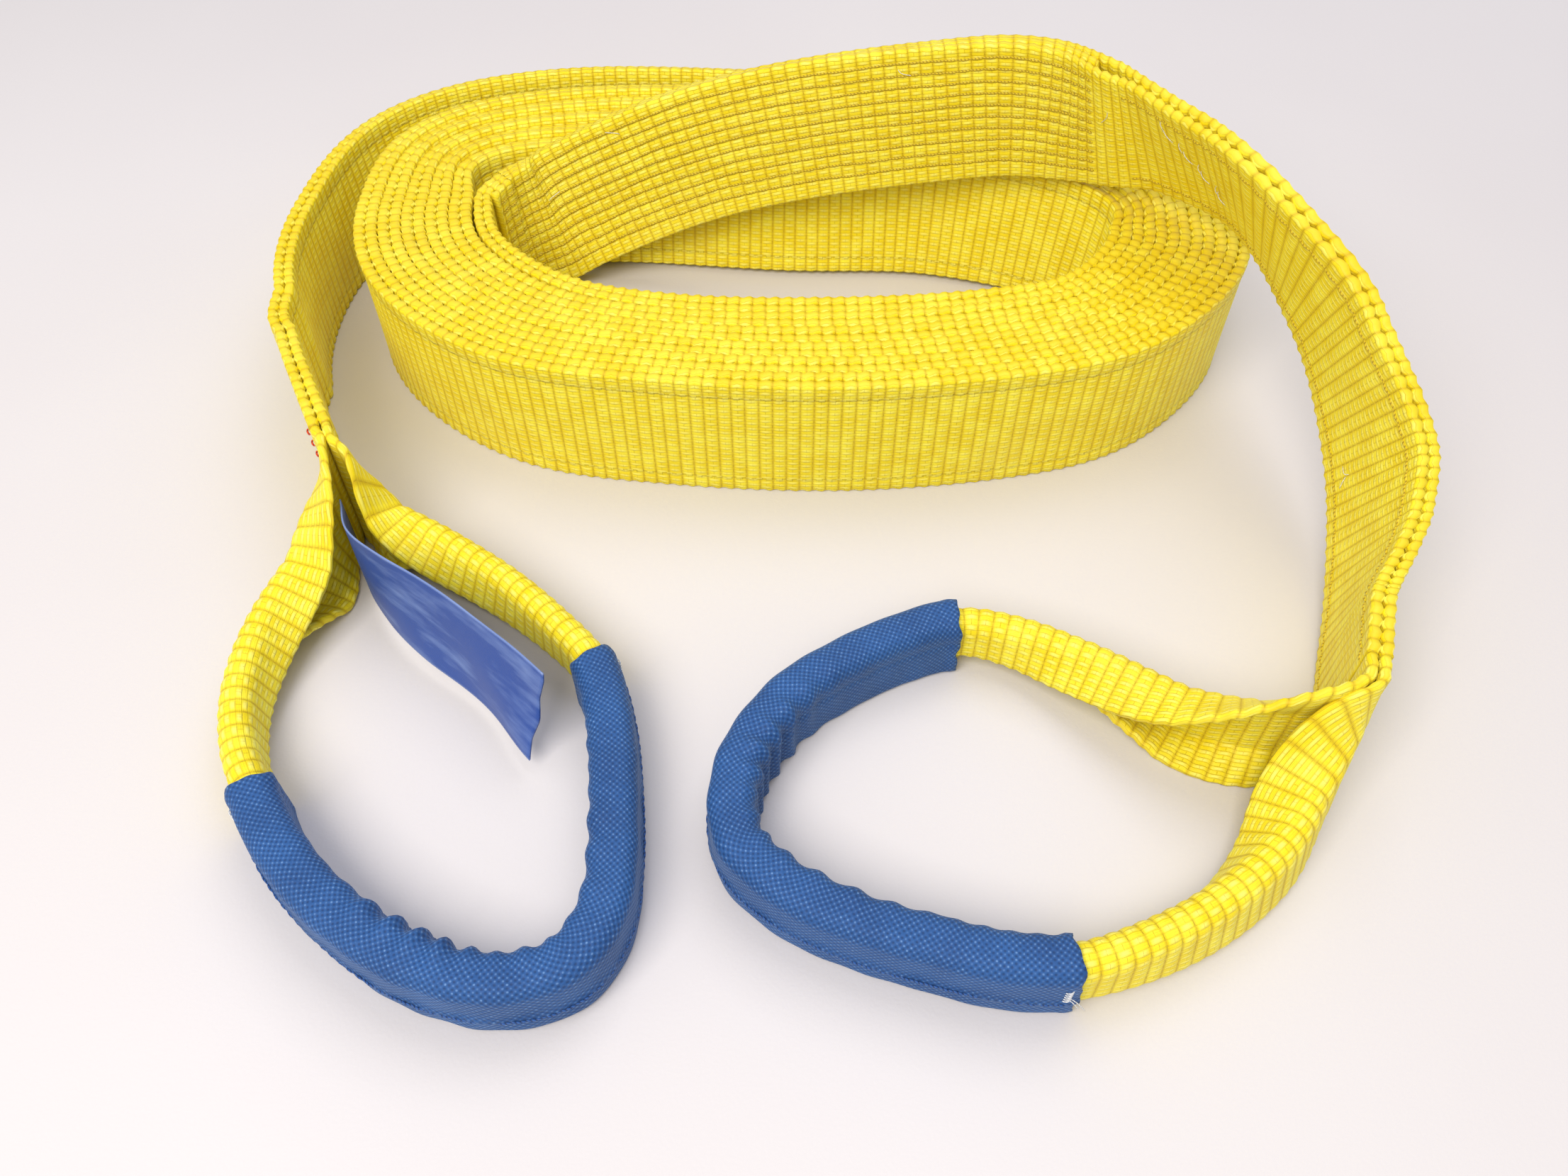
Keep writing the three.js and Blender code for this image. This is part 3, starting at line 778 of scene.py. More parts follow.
@dataclass
class RibbedPly:
    """One ply of webbing along a line: ribs across it, a beaded selvedge on each edge.

    Attributes:
        line: the web's line.
        rib_height: height of a rib, mm.
        bead: how far the edge loops stand out, mm.
        seed: phase of its slow unevenness.
        swell: share of the looseness between turns that its upper edge fills, off each face.
    """

    line: WebLine
    rib_height: float = 0.38
    bead: float = 0.42
    seed: float = 0.0
    swell: tuple[float, float] = (0.0, 0.0)

    def skins(self, rows: Frames, outer: Array | float, across: Array, relief: Callable) -> Cloth:
        """Both faces of the ply between its outer face and one thickness in.

        A face stands off the middle by half the thickness, narrowed to a round edge, less the
        relief; a rib is the size of a sine of the length over the rib pitch, and the edge loops
        lean alternately to either side.

        Args:
            rows: the frames.
            outer: offset of the outer face, mm.
            across: places across the width, mm.
            relief: depth below a rib's crest, by length, across, station and face.

        Returns:
            The cloth.
        """
        web = self.line
        s, v = rows.length[:, None], across[None]
        edge = np.minimum(v, web.width - v)
        rounded = 0.66 + 0.34 * np.sqrt(np.clip(edge / 1.2, 0, 1))
        middle = np.broadcast_to(outer, len(rows.at))[:, None] - web.ply / 2
        turn = math.pi * s / web.rib
        near = np.exp(-((edge / 1.6) ** 2))
        lean = self.bead * near * np.sin(2 * turn + self.seed + (v > 25) * 1.3)
        top = self.bead * near * np.abs(np.sin(turn + 0.6)) * np.where(v > 25, 1, 0)
        sag = 0.35 * waver(s, self.seed, 210.0) * (v / web.width)
        half = (web.ply / 2 + 0.14) * rounded
        fill = rows.loose[:, None] * np.exp(-(((web.width - v) / 6.5) ** 2))
        front = middle + half - relief(s, v, rows.station[:, None], 1) * rounded + lean
        front = front + self.swell[0] * fill
        back = middle - half + relief(s, v, rows.station[:, None], -1) * rounded + lean
        back = back - self.swell[1] * fill
        height = v + top + sag + 0 * s
        uv = np.stack(np.broadcast_arrays(s, v), -1)
        return Cloth(rows.place(height, front), rows.place(height, back), uv)

    def ribs(self, s: Array, v: Array, station: Array, face: int) -> Array:
        """Plain ribs with a shallow furrow where each edge line is sewn."""
        line = np.abs(np.abs(v - 25) - 19)
        furrow = 0.28 * np.exp(-((line / 0.9) ** 2))
        phase = math.pi * s / self.line.rib + 0.25 * np.sin(v / 9 + s / 70)
        return self.rib_height * (1 - np.abs(np.sin(phase))) + furrow

    def quilted(self, s: Array, v: Array, station: Array, face: int) -> Array:
        """Small pillows where the stitch rows cross the ribs, plain ribs past the splice."""
        first, last = self.line.splice
        sewn = smooth((station - first) / 0.2) * smooth((last - station) / 0.15)
        rows = np.abs(np.sin(math.pi * (v - 45.5) / 4.3))
        rows = np.where((v > 46.5) | (v < 5.8), 1.0, rows)
        pillow = 0.85 * (1 - rows**0.6) * sewn * (face < 0)
        phase = math.pi * s / self.line.rib + 0.25 * np.sin(v / 9 + s / 70)
        return self.rib_height * (1.25 - 0.25 * sewn) * (1 - np.abs(np.sin(phase))) + pillow


EDGES = np.array([0, 0.8, 4.7, 6, 7.3, 25, 42.7, 44, 45.3, 49.2, 50.0])


@dataclass
class WebBody:
    """The two long plies, the overlap that splices them, and their stitching.

    Attributes:
        line: the web's line.
        finishes: the materials.
        rows: the line's frames, in the frame's own place.
    """

    line: WebLine
    finishes: Finishes
    rows: Frames

    def build(self) -> None:
        """Makes every piece of the web body."""
        web, rows = self.line, self.rows
        outer = RibbedPly(web, swell=(0.5, 0.0))
        cloth = outer.skins(rows, 0.0, EDGES, outer.ribs)
        self.dress(cloth.mesh("woven_outer_ply"), "body_ply_outer", self.finishes.webbing)
        inner = RibbedPly(web, seed=2.2, swell=(0.0, 0.5))
        covered = rows.cut(rows.station <= web.splice[1])
        cloth = inner.skins(covered, -web.ply - web.gap, EDGES, inner.ribs)
        self.dress(cloth.mesh("woven_inner_ply"), "body_ply_inner", self.finishes.webbing)
        over = rows.cut(rows.station >= web.splice[0])
        quilt = RibbedPly(web, seed=4.1)
        across = np.concatenate([[0, 0.8], np.linspace(1.8, 48.2, 45), [49.2, 50]])
        cloth = quilt.skins(over, web.overlap_off(over.station), across, quilt.quilted)
        self.dress(cloth.mesh("woven_overlap_ply"), "overlap_ply", self.finishes.splice)
        self.stitching(over)

    def dress(self, obj: bpy.types.Object, node: str, finish: bpy.types.Material) -> None:
        obj.data.materials.append(finish)
        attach(obj, Body.WEB.value)
        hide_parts(node)

    def stitching(self, over: Frames) -> None:
        """Ten rows of stitches in the splice, and the two lines that carry on past it."""
        web = self.line
        first, last = web.splice
        sewn = over.cut((over.station > first + 0.1) & (over.station < last - 0.1))
        for k in range(10):
            name = f"splice_stitch_row_{k + 1:02d}"
            self.sewn_line(f"stitches_{k + 1:02d}", name, sewn, 45.5 - 4.3 * k, 0.7 * k)
        past = over.cut((over.station > last + 0.6) & (over.station < 24.2))
        self.sewn_line("edge_stitches_lower", "edge_stitch_lower", past, 6.0, 0.3)
        self.sewn_line("edge_stitches_upper", "edge_stitch_upper", past, 44.0, 1.1)
        self.loose_threads(over)
        for side, part in (("left", self.rows.station < 0), ("right", self.rows.station > 23.2)):
            near = self.rows.cut(part)
            picks = slice(2, 7) if side == "left" else slice(-7, -2)
            self.throat_tack(side, near, picks)

    def sewn_line(self, name: str, node: str, rows: Frames, height: float, seed: float) -> None:
        """One row of lockstitch: a thread that dips once a stitch and wanders a little.

        Args:
            name: the piece's name.
            node: the CAD node it stands for.
            rows: the frames it runs along.
            height: its height up the width, mm.
            seed: phase of its wander.
        """
        dip = np.abs(np.sin(math.pi * rows.length / self.line.rib + 0.2))
        off = self.line.overlap_off(rows.station) - self.line.ply + 0.28 - 0.5 * dip
        wander = height + 0.3 * waver(rows.length, seed, 38.0)
        path = rows.place(wander[:, None], off[:, None])[:, 0]
        obj = thread_object(name, [Thread(path, 0.24 + 0.16 * dip)])
        obj.data.materials.append(self.finishes.yellow)
        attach(obj, Body.WEB.value)
        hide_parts(node)

    def loose_threads(self, over: Frames) -> None:
        """Short pale thread ends and a worn patch on the overlap ply's face.

        Each is a bow off the face between two points a few millimetres apart.

        Args:
            over: the overlap ply's frames.
        """
        spots = [(3.2, 33, 5, 2), (4.9, 46, 4, -3), (8.9, 41, -5, 3), (11.75, 30, 2, 6)]
        spots += [(13.1 + 0.16 * k, 38 - 3.1 * k, 1.5 * (-1) ** k, 5.5) for k in range(8)]
        spots += [(18.6, 12, 4, 3), (18.9, 9, -2, 4)]
        threads = []
        for station, height, run, rise in spots:
            k = int(np.argmin(np.abs(over.station - station)))
            f = np.linspace(0, 1, 12)[:, None]
            face = float(self.line.overlap_off(over.station[k : k + 1])[0]) - self.line.ply
            bow = face - 0.1 - 0.7 * np.sin(math.pi * f)
            path = over.at[k] + over.up[k] * (height + rise * f) + over.out[k] * bow
            path = path + over.along[k] * (run * f + 0.9 * np.sin(4 * f + station))
            threads.append(Thread(path, 0.13))
        obj = thread_object("loose_thread_ends", threads)
        obj.data.materials.append(self.finishes.white)
        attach(obj, Body.WEB.value)

    def throat_tack(self, side: str, rows: Frames, picks: slice) -> None:
        """Short red stitches up the outer face beside a throat.

        Args:
            side: left or right.
            rows: the frames near the throat.
            picks: which of them the stitches lie across.
        """
        middle = rows.place(0.0, 0.0)[picks][2, 0]
        up, out, along = rows.up[picks][2], rows.out[picks][2], rows.along[picks][2]
        threads = []
        for height in np.linspace(9, 44, 8):
            f = np.linspace(0, 1, 9)[:, None]
            rise = 0.25 + 0.5 * np.sin(math.pi * f)
            run = (f - 0.5) * 2.6
            path = middle + up * (height + 0.8 * (f - 0.5)) + out * rise + along * run
            threads.append(Thread(path, 0.34))
        obj = thread_object(f"{side}_throat_stitches", threads)
        obj.data.materials.append(self.finishes.red)
        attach(obj, Body.WEB.value)
        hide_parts(f"{side}_throat_tack")


# ---- eyes ----
@dataclass
class Eye:
    """One eye: a single ply with both edges folded in, its sleeve and the sleeve's sewing.

    Attributes:
        side: left or right.
        body: the body it rides on.
        away: 1 if it runs on past the line's end, -1 if it leaves the line's start.
        route: stations of x, y, upper fold, lower fold and lean, mm and degrees.
        sleeve: stations that the sleeve covers.
        offs: offsets of the eye's ply at its first and last end, mm.
        puckers: stations with the most wrinkles, and how far they spread.
        flap: free width of each edge past its fold, mm.
        slit: free web between the throat and the start of the eye, mm.
        straight: straight web after the slit, mm.
    """

    side: str
    body: Body
    away: int
    route: Array
    sleeve: tuple[float, float]
    offs: tuple[float, float]
    puckers: tuple[tuple[float, float, float], ...]
    line: WebLine
    finishes: Finishes
    throat: Frames
    shift: Array
    flap: float = 10.5
    slit: float = 1.5
    straight: float = 5.5
    wall: float = 1.0
    clearance: float = 0.5
    stations: Array = field(init=False)

    def __post_init__(self) -> None:
        """Adds the straight ends at the throat to the route."""

        def leave(off: float, distance: float) -> Array:
            """A station in line with one ply, a distance past the throat."""
            q = self.throat.at[0] + self.throat.out[0] * off
            q = q + self.throat.along[0] * self.away * distance
            return np.array([q[0], q[1], 0, 0, 0])

        near = [self.slit, self.slit + self.straight]
        start = [leave(self.offs[0], d) for d in near]
        end = [leave(self.offs[1], d) for d in reversed(near)]
        self.stations = np.vstack([start, self.route, end])

    @property
    def lower_fold(self) -> float:
        """Fold radius of the lower edge, tight against the standing part."""
        return (self.line.ply + self.line.gap) / 2

    @property
    def upper_fold(self) -> float:
        """Fold radius of the upper edge, over the lower one."""
        return self.line.ply + self.line.gap

    @property
    def fold_places(self) -> tuple[float, float]:
        """Middle of each fold, across the web."""
        low = self.flap + math.pi * self.lower_fold / 2
        return low, self.line.width - self.flap - math.pi * self.upper_fold / 2

    def sampled(self, first: float, last: float, step: float) -> tuple[Array, ...]:
        """Places every step of length between two stations.

        Args:
            first: station to start from.
            last: station to end at.
            step: distance between places, mm.

        Returns:
            Length, station, plan position, side vector towards the middle and the angles.
        """
        fine = np.linspace(first, last, 3000)
        plan = through(self.stations, fine)[:, :2]
        run = np.r_[0, np.cumsum(np.linalg.norm(np.diff(plan, axis=0), axis=1))]
        s = np.linspace(0, run[-1], max(2, round(run[-1] / step)) + 1)
        t = np.interp(s, run, fine)
        row = through(self.stations, t)
        along = unit(np.gradient(row[:, :2], axis=0))
        side = np.stack([-along[:, 1], along[:, 0]], 1)
        angles = np.radians(np.column_stack([np.clip(row[:, 2:4], 0, 180), row[:, 4]]))
        return s, t, row[:, :2], side, angles

    @staticmethod
    def folded(run: Array, fold_at: float, radius: float, fold: Array) -> tuple[Array, ...]:
        """One edge going run from the middle: straight, an arc round the fold, straight again."""
        arc = radius * fold
        straight = fold_at - arc / 2
        turned = np.clip((run - straight) / radius, 0, fold)
        past = np.maximum(0, run - straight - arc)
        rise = np.minimum(run, straight) + radius * np.sin(turned) + past * np.cos(fold)
        reach = radius * (1 - np.cos(turned)) + past * np.sin(fold)
        return reach, rise, turned

    def section(self, across: Array, upper: Array, lower: Array, off: Array) -> tuple[Array, Array]:
        """Cross-section of the folded web, off outside its middle surface.

        Args:
            across: places across the flat web, mm.
            upper: upper fold, radians.
            lower: lower fold, radians.
            off: distance outside the middle surface, mm.

        Returns:
            Reach towards the eye's middle, and rise.
        """
        low, high = self.fold_places
        middle = (low + high) / 2
        run = np.abs(across - middle)
        one = self.folded(run, high - middle, self.upper_fold, upper)
        two = self.folded(run, middle - low, self.lower_fold, lower)
        is_up = across >= middle
        reach, rise, turned = (np.where(is_up, a, b) for a, b in zip(one, two))
        centre = self.upper_fold * (1 - np.cos(upper)) / 2
        out = rise + off * np.sin(turned)
        return reach - off * np.cos(turned) - centre, np.where(is_up, out, -out)

    def standing(self, plan: Array, side: Array, lean: Array, reach: Array, rise: Array) -> Array:
        """Section points (reach, rise) turned by the lean and stood at their plan position."""
        c, s = np.cos(lean), np.sin(lean)
        a, h = reach * c - rise * s, rise * c + reach * s
        flat = plan[:, None] + side[:, None] * a[..., None]
        return np.concatenate([flat, h[..., None]], -1)

    def web(self) -> bpy.types.Object:
        """The folded ply, ribbed, lifted by the sleeve's wall inside the sleeve."""
        last = len(self.stations) - 1
        s, t, plan, side, angles = self.sampled(-0.25, last + 0.25, self.line.rib / 4)
        low, high = self.fold_places
        spread = np.concatenate([
            [0, 0.7], np.linspace(1.8, low - 3.4, 6), np.linspace(low - 2.9, low + 2.9, 7),
            np.linspace(low + 3.6, high - 6.6, 6), np.linspace(high - 5.8, high + 5.8, 9),
            np.linspace(high + 6.6, 48.2, 5), [49.3, 50],
        ])
        v = spread[None]
        edge = np.minimum(v, self.line.width - v)
        rounded = 0.4 + 0.6 * np.sqrt(np.clip(edge / 1.5, 0, 1))
        phase = math.pi * s[:, None] / self.line.rib + 0.3 * np.sin(v / 7 + s[:, None] / 40)
        rib = 0.42 * (1 - np.abs(np.sin(phase)))
        near = np.exp(-((edge / 1.4) ** 2))
        lean = 0.3 * near * np.sin(2 * math.pi * s[:, None] / self.line.rib)
        half = self.line.ply / 2 * rounded - rib * rounded
        upper, lower, tilt = (angles[:, k : k + 1] for k in range(3))
        skins = []
        for off in (half + lean, -half + lean):
            reach, rise = self.section(v, upper, lower, off)
            skins.append(self.standing(plan, side, tilt, reach, rise))
        lowest = np.minimum(skins[0][..., 2].min(1), skins[1][..., 2].min(1))
        entering = smooth((t - self.sleeve[0] + 2.5) / 2.5)
        leaving = smooth((self.sleeve[1] + 2.5 - t) / 2.5)
        lift = (self.wall + self.clearance) * np.minimum(entering, leaving) - lowest
        for skin in skins:
            skin[..., 2] += lift[:, None]
            skin += self.shift
        uv = np.stack(np.broadcast_arrays(s[:, None], v), -1)
        obj = Cloth(skins[0], skins[1], uv).mesh(f"{self.side}_folded_web")
        obj.data.materials.append(self.finishes.splice)
        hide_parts(f"{self.side}_eye_web")
        self.bend(obj)
        return obj

    def bend(self, obj: bpy.types.Object) -> None:
        """Bakes the ply's placement into its mesh."""
        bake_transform(obj)

    def profile(self, count: int) -> tuple[Array, Array, Array]:
        """The sleeve's outer ring: a rounded box, evenly spaced, with its outward normals.

        Args:
            count: points round the ring.

        Returns:
            Points (reach, rise), normals, and the distance round the ring.
        """
        low, high = self.fold_places
        standing = high - low - math.pi * (self.upper_fold + self.lower_fold) / 2
        edge, half_ply = self.flap - standing, self.line.ply / 2
        top_reach = max(self.upper_fold + half_ply, edge)
        tall = standing + top_reach + max(self.lower_fold + half_ply, edge)
        half = (self.upper_fold * 2 + self.line.ply) / 2 + self.clearance + self.wall
        top = self.wall + 2 * self.clearance + tall + self.wall
        rounds = (self.lower_fold / 2 + self.wall, self.upper_fold + self.wall)
        corners = [(half, 0, 1, -1), (half, top, 1, 1), (-half, top, -1, 1), (-half, 0, -1, -1)]
        points = []
        for i, (a, h, sa, sh) in enumerate(corners):
            r = rounds[0] if sh < 0 else rounds[1]
            turn = (i - 1 + np.linspace(0, 1, 12)) * math.pi / 2
            points.append(np.stack([a - sa * r + r * np.cos(turn), h - sh * r + r * np.sin(turn)], 1))
        loop = np.vstack(points + [points[0][:1]])
        run = np.r_[0, np.cumsum(np.linalg.norm(np.diff(loop, axis=0), axis=1))]
        place = np.linspace(0, run[-1], count, endpoint=False)
        ring = np.stack([np.interp(place, run, loop[:, k]) for k in range(2)], 1)
        tangent = unit(np.roll(ring, -1, 0) - np.roll(ring, 1, 0))
        return ring, np.stack([tangent[:, 1], -tangent[:, 0]], 1), place

    def wrinkles(self, s: Array, t: Array, ring: Array, place: Array) -> Array:
        """How far the sleeve's cloth stands out or dips, mm.

        Gathers are sharpened sines of the length, 6 to 9 mm apart, strongest on the inner side
        at the bends; a seam ridge runs low on the outer side, and a crease along the inner top.

        Args:
            s: length along the sleeve, mm.
            t: station at each length.
            ring: the ring's points.
            place: distance round the ring, mm.

        Returns:
            Places by ring points.
        """
        s, t = s[:, None], t[:, None]
        inner = smooth((ring[None, :, 0] + 3.0) / 9.0)
        height = ring[None, :, 1]
        near = sum(a * np.exp(-(((t - at) / wide) ** 2)) for at, wide, a in self.puckers)
        phase = 2 * math.pi * s / 9.2 + 1.9 * np.sin(s / 15.0) + 0.9 * np.sin(height / 6 + s / 21)
        gather = (0.5 + 0.5 * np.cos(phase)) ** 1.3
        uneven = 0.75 + 0.35 * np.sin(s / 11.0 + 1.7)
        fold = near * inner * (2.5 * gather * uneven - 0.4)
        small = 0.16 * np.sin(s / 2.1 + 2.5 * np.sin(place[None] / 8)) * (0.3 + near)
        ridge = 0.55 * np.exp(-(((height - 8.5) / 1.1) ** 2)) * (ring[None, :, 0] < 0)
        crease = -0.4 * np.exp(-(((height - 15.5) / 0.9) ** 2)) * (ring[None, :, 0] > 3)
        slack = 0.3 * waver(s + 9 * ring[None, :, 0] / 7, 1.3 if self.away > 0 else 2.9, 46.0)
        end = np.minimum(s, s[-1] - s)
        hem = 0.35 * np.exp(-(((end - 2.0) / 1.6) ** 2))
        lowest = smooth(height / 2.0)
        return (fold + small + slack + hem) * lowest + ridge + crease

    def sleeve_cloth(self) -> None:
        """The wear sleeve: a seamed tube, gathered at the bends, with ragged hems."""
        s, t, plan, side, _ = self.sampled(*self.sleeve, 1.0)
        ring, normal, place = self.profile(60)
        stand = self.wrinkles(s, t, ring, place)
        ragged = 0.7 * np.sin(place / 2.3) + 0.5 * np.sin(place / 1.1 + 1)
        level = np.zeros((len(s), 1))
        skins = []
        for grow in (stand, np.full_like(stand, -0.8 * self.wall)):
            reach = ring[None, :, 0] + normal[None, :, 0] * grow
            rise = np.maximum(ring[None, :, 1] + normal[None, :, 1] * grow, 0.02)
            skin = self.standing(plan, side, level, reach, rise)
            for row, way in ((0, -1), (-1, 1)):
                along = np.array([side[row, 1], -side[row, 0]]) * way
                skin[row, :, :2] += along * ragged[:, None] * 0.6
            skins.append(skin + self.shift)
        uv = np.stack(np.broadcast_arrays(s[:, None], place[None]), -1)
        obj = Cloth(skins[0], skins[1], uv, ring=True).mesh(f"{self.side}_gathered_sleeve")
        obj.data.materials.append(self.finishes.sleeve)
        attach(obj, self.body.value)
        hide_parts(f"{self.side}_eye_sleeve")
        self.seam(s, plan, side, ring)
        self.tack("a", plan[:8], side[:8], -1)
        self.tack("b", plan[-8:], side[-8:], 1)

    def seam(self, s: Array, plan: Array, side: Array, ring: Array) -> None:
        """The seam's lockstitch, low on the sleeve's outer side."""
        dip = np.abs(np.sin(math.pi * s / 3.4))
        reach = np.full(len(s), ring[:, 0].min() - 0.35 - 0.25 * dip)[:, None]
        rise = (8.4 + 0.35 * waver(s, 0.7, 60.0))[:, None]
        path = self.standing(plan, side, np.zeros((len(s), 1)), reach, rise)[:, 0] + self.shift
        obj = thread_object(f"{self.side}_seam_stitches", [Thread(path[2:-2], 0.22 + 0.12 * dip[2:-2])])
        obj.data.materials.append(self.finishes.blue)
        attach(obj, self.body.value)
        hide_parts(f"{self.side}_sleeve_seam")

    def tack(self, which: str, plan: Array, side: Array, way: int) -> None:
        """White bar tack at one end of the sleeve, with two loose thread ends.

        Args:
            which: a or b.
            plan: positions near that end.
            side: side vectors there.
            way: 1 where the sleeve's end lies ahead, -1 where it lies behind.
        """
        middle, across = plan[4], side[4]
        along = np.array([across[1], -across[0]]) * way
        half = self.profile(60)[0][:, 0].min()
        f = np.linspace(0, 1, 10)[:, None]
        threads = []
        for height in np.linspace(10.8, 16.2, 5):
            bow = half - 0.3 - 0.45 * np.sin(math.pi * f)
            flat = middle + across * bow + along * (f - 0.5) * 2.2
            threads.append(Thread(np.hstack([flat, height + 0.7 * f]) + self.shift, 0.2))
        for height, reach, drop in ((11.5, 3.2, 5.0), (12.5, 5.4, 8.0)):
            bow = half - 0.5 - 1.6 * f * (1.4 - f)
            flat = middle + across * bow + along * (0.6 + reach * f)
            path = np.hstack([flat, height - drop * f**1.6]) + self.shift
            threads.append(Thread(path, 0.15))
        obj = thread_object(f"{self.side}_tack_{which}", threads)
        obj.data.materials.append(self.finishes.white)
        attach(obj, self.body.value)
        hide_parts(f"{self.side}_sleeve_tack_{which}")

    def build(self) -> None:
        """Makes the eye's pieces."""
        self.web()
        self.sleeve_cloth()


LEFT_ROUTE = np.array([
    [-151.5, -120, 45, 25, 3], [-158, -139, 105, 95, 8], [-163.5, -160, 145, 140, 6],
    [-164, -181, 165, 165, 2], [-159, -200, 175, 178, 0], [-150.5, -215.5, 180, 180, 0],
    [-137.5, -234.5, 180, 180, 0], [-120, -251, 180, 180, 0], [-98.5, -265, 180, 180, 0],
    [-75, -271, 180, 180, 0], [-57, -267, 180, 180, 0], [-48, -253.5, 180, 180, 0],
    [-46.5, -234, 180, 180, 0], [-48.5, -211, 180, 180, 0], [-52, -190, 180, 180, 0],
    [-58.5, -171.5, 180, 180, 0], [-72, -155.5, 175, 178, 0], [-89, -140, 165, 172, 6],
    [-107, -127, 145, 160, 8], [-123, -117, 100, 120, 8], [-135.5, -110, 25, 30, 3],
], float)
RIGHT_ROUTE = np.array([
    [153, -200.5, 5, 10, 0], [142, -198, 25, 35, 0], [128, -191.5, 60, 70, 0],
    [111, -180.5, 100, 110, -3], [92, -168.5, 135, 145, -3], [72, -159.5, 168, 172, 0],
    [54, -156.5, 180, 180, 0], [35, -162.5, 180, 180, 0], [15, -173.5, 180, 180, 0],
    [-1.5, -187.5, 180, 180, 0], [-11.5, -203.5, 180, 180, 0], [-14.5, -219.5, 180, 180, 0],
    [-11, -234, 180, 180, 0], [0, -245, 180, 180, 0], [15, -253, 180, 180, 0],
    [35, -260, 180, 180, 0], [55, -265, 180, 180, 0], [75, -266, 180, 180, 0],
    [97, -259.5, 175, 178, -8], [118, -249, 160, 170, -12], [137, -235, 130, 150, -12],
    [151, -219, 75, 95, -8], [160, -206, 15, 20, -3],
], float)


@dataclass
class Label:
    """The cloth tag sewn into the left throat.

    Attributes:
        width: width of the tag, mm.
        thickness: thickness of its cloth, mm.
        lift: height of its lower edge, mm; not used.
    """

    finishes: Finishes
    shift: Array
    width: float = 32.0
    thickness: float = 0.6
    lift: float = 4.0
    route: Array = field(default_factory=lambda: np.array([
        [-142, -121, 4, 0, 0, 0], [-137.5, -134, 4, 1, 0, 0], [-128, -147, 4, 8, 0, 0],
        [-115, -159.5, 4, 14, 0, 0], [-101.5, -171.5, 4, 18, 0, 0], [-88, -184, 4, 21, 0, 0],
        [-76, -197, 4, 22, 0, 0],
    ], float))

    def build(self) -> None:
        """The tag: a thin sheet with a slow wave and an uneven cut end, and its stitches."""
        rows = through(self.route, np.linspace(0, len(self.route) - 1, 900))
        frames = Frames.of(rows, 1.3)
        v = np.concatenate([[0, 0.3], np.linspace(1.2, self.width - 1.2, 22), [self.width - 0.3, self.width]])
        s = frames.length[:, None]
        share = s / s[-1]
        wave = 1.1 * share * np.sin(2 * math.pi * s / 58 + v / 11) + 0.5 * np.sin(s / 9 + v / 5) * share
        curl = 1.3 * share**4 * (v / self.width) ** 2
        half = self.thickness / 2 * np.where((v < 0.1) | (v > self.width - 0.1), 0.5, 1.0)
        height = v + 0.5 * share * np.sin(s / 14)
        front = frames.place(height, wave - curl + half)
        back = frames.place(height, wave - curl - half)
        cut = 2.6 * share**6 * (np.abs((v / self.width * 2.2) % 1 - 0.5) - (v / self.width) * 1.1)
        for skin in (front, back):
            skin += frames.along[:, None] * cut[..., None]
            skin += self.shift
        uv = np.stack(np.broadcast_arrays(s, v[None]), -1)
        obj = Cloth(front, back, uv).mesh("sewn_label")
        obj.data.materials.append(self.finishes.label)
        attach(obj, Body.LABEL.value)
        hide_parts("id_label")
        threads = []
        for start in np.linspace(4, self.width - 6, 7):
            f = np.linspace(0, 1, 8)
            off = -self.thickness / 2 - 0.12 - 0.45 * np.sin(math.pi * f)
            near = Frames(*(np.repeat(p[1:2], 8, 0) for p in (
                frames.at, frames.along, frames.up, frames.out, frames.station, frames.length,
                frames.loose)))
            path = near.place((start + 2.8 * f)[:, None], off[:, None])[:, 0] + self.shift
            threads.append(Thread(path, 0.22))
        stitches = thread_object("label_stitches", threads)
        stitches.data.materials.append(self.finishes.white)
        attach(stitches, Body.LABEL.value)
        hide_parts("label_stitch")
        LOG.info("label: %d faces", len(obj.data.polygons))


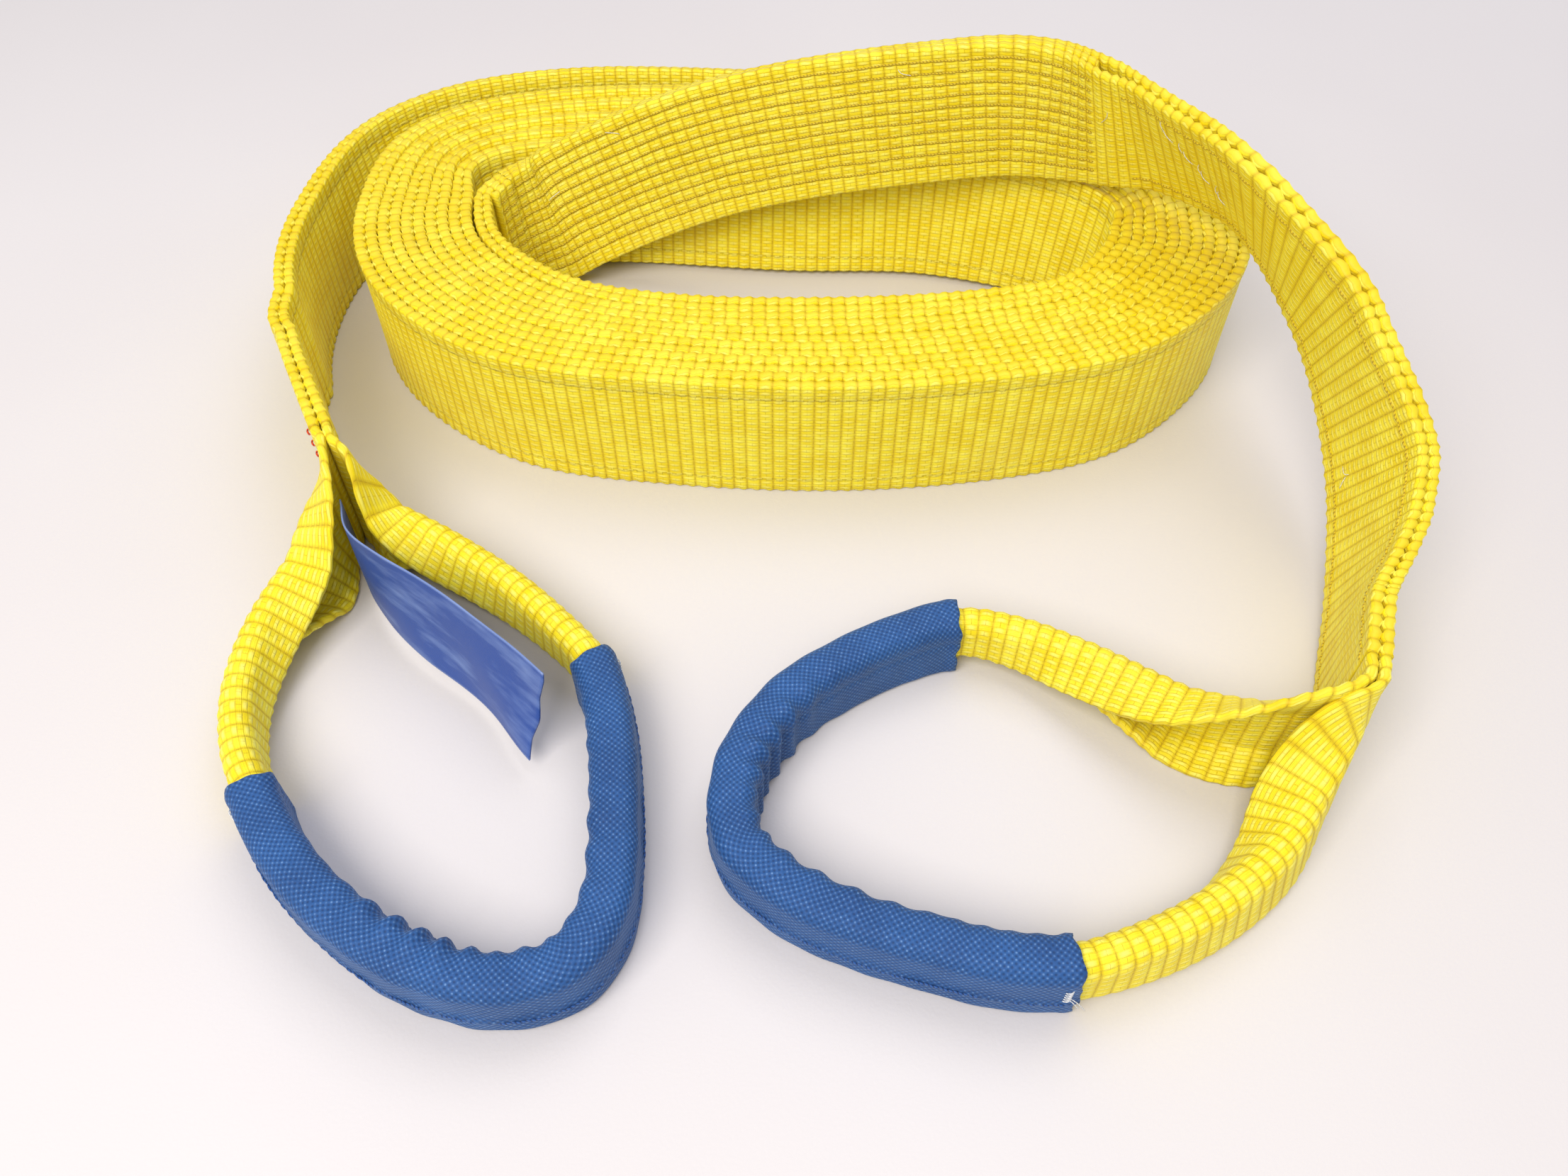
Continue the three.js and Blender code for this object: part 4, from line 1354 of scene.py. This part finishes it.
@dataclass
class Studio:
    """Camera, floor and lights.

    Attributes:
        eye: the camera's place in the sling's drawing frame, mm.
        pitch: its tilt from straight down, degrees.
        lens: focal length, mm.
    """

    shift: Array
    eye: tuple[float, float, float] = (0.0, -387.5, 320.0)
    pitch: float = 39.0
    lens: float = 27.9

    def build(self) -> None:
        """Sets up the view, the backdrop and the soft light."""
        scene = bpy.context.scene
        data = bpy.data.cameras.new("camera")
        data.lens, data.sensor_width, data.clip_start = self.lens, 36.0, 0.01
        camera = bpy.data.objects.new("camera", data)
        camera.location = [(a + b) * MM for a, b in zip(self.eye, self.shift)]
        camera.rotation_euler = (math.radians(self.pitch), 0, 0)
        scene.collection.objects.link(camera)
        scene.camera = camera
        corner = np.array([[-3, -3, 0], [3, -3, 0], [3, 3, 0], [-3, 3, 0]], float)
        low = corner - [0, 0, 0.02]
        quads = np.array([[0, 1, 2, 3], [7, 6, 5, 4], [0, 4, 5, 1], [1, 5, 6, 2], [2, 6, 7, 3], [3, 7, 4, 0]])
        points = np.vstack([corner, low])
        floor = make_object("floor", points, quads, points[:, :2])
        floor.data.polygons.foreach_set("use_smooth", np.zeros(len(quads), bool))
        floor.data.materials.append(Backdrop("cotton_backdrop").material())
        self.light("key", (-0.4, -0.75, 1.05), (0.0, -0.02, 0.0), 0.8, 14.0, "#FFF8F0")
        self.light("top", (0.25, 0.45, 1.2), (0.0, 0.02, 0.0), 0.9, 6.0, "#F6F6FF")
        world = bpy.data.worlds.new("studio")
        world.use_nodes = True
        world.node_tree.nodes["Background"].inputs["Color"].default_value = linear("#F6F2F4")
        world.node_tree.nodes["Background"].inputs["Strength"].default_value = 0.6
        scene.world = world
        scene.view_settings.view_transform = "Standard"

    @staticmethod
    def light(name: str, at: tuple, aim: tuple, size: float, watts: float, tint: str) -> None:
        """A square soft light.

        Args:
            name: the light's name.
            at: where it stands, metres.
            aim: what it points at.
            size: side of its panel, metres.
            watts: its power.
            tint: its colour.
        """
        data = bpy.data.lights.new(name, "AREA")
        data.shape, data.size, data.energy = "SQUARE", size, watts
        data.color = linear(tint)[:3]
        lamp = bpy.data.objects.new(name, data)
        lamp.location = at
        lamp.rotation_euler = (Vector(aim) - Vector(at)).to_track_quat("-Z", "Y").to_euler()
        bpy.context.scene.collection.objects.link(lamp)


def frame_shift(rows: Frames, line: WebLine) -> Array:
    """How far the frame's origin lies from the drawing's, from the outer ply's box.

    Args:
        rows: the web's frames in the drawing's place.
        line: the web's line.

    Returns:
        The shift, mm.
    """
    corners = rows.place(np.array([[0, line.width, 0, line.width]]), np.array([[0, 0, -line.ply, -line.ply]]))
    low, high = (np.array(v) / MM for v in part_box("body_ply_outer"))
    flat = corners.reshape(-1, 3)
    shift = ((low - flat.min(0)) + (high - flat.max(0))) / 2
    shift[2] = 0.07
    return shift


def main() -> None:
    """Builds the sling on its frame, piece by piece."""
    logging.basicConfig(level=logging.INFO, format="%(name)s: %(message)s")
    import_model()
    line = WebLine()
    rows = line.frames()
    shift = frame_shift(rows, line)
    LOG.info("web %.3f m, shift %s", rows.length[-1] * MM, np.round(shift, 2))
    finishes = Finishes()
    first, last = (rows.cut(slice(k, k + 1)) for k in (0, len(rows.at) - 1))
    inner_middle = -(1.5 * line.ply + line.gap)
    shared = {"line": line, "finishes": finishes, "shift": shift}
    left = Eye("left", Body.LEFT, -1, LEFT_ROUTE, (7, 17), (-line.ply / 2, inner_middle),
               ((10.6, 1.7, 1.0), (14.5, 1.5, 0.45)), throat=first, **shared)
    right = Eye("right", Body.RIGHT, 1, RIGHT_ROUTE, (8, 19), (inner_middle, -line.ply / 2),
                ((12.6, 2.2, 1.0), (16.5, 1.8, 0.4)), throat=last, **shared)
    for eye in (left, right):
        eye.build()
    rows.at = rows.at + shift
    WebBody(line, finishes, rows).build()
    Label(finishes, shift).build()
    Studio(shift).build()


if __name__ == "__main__":
    main()
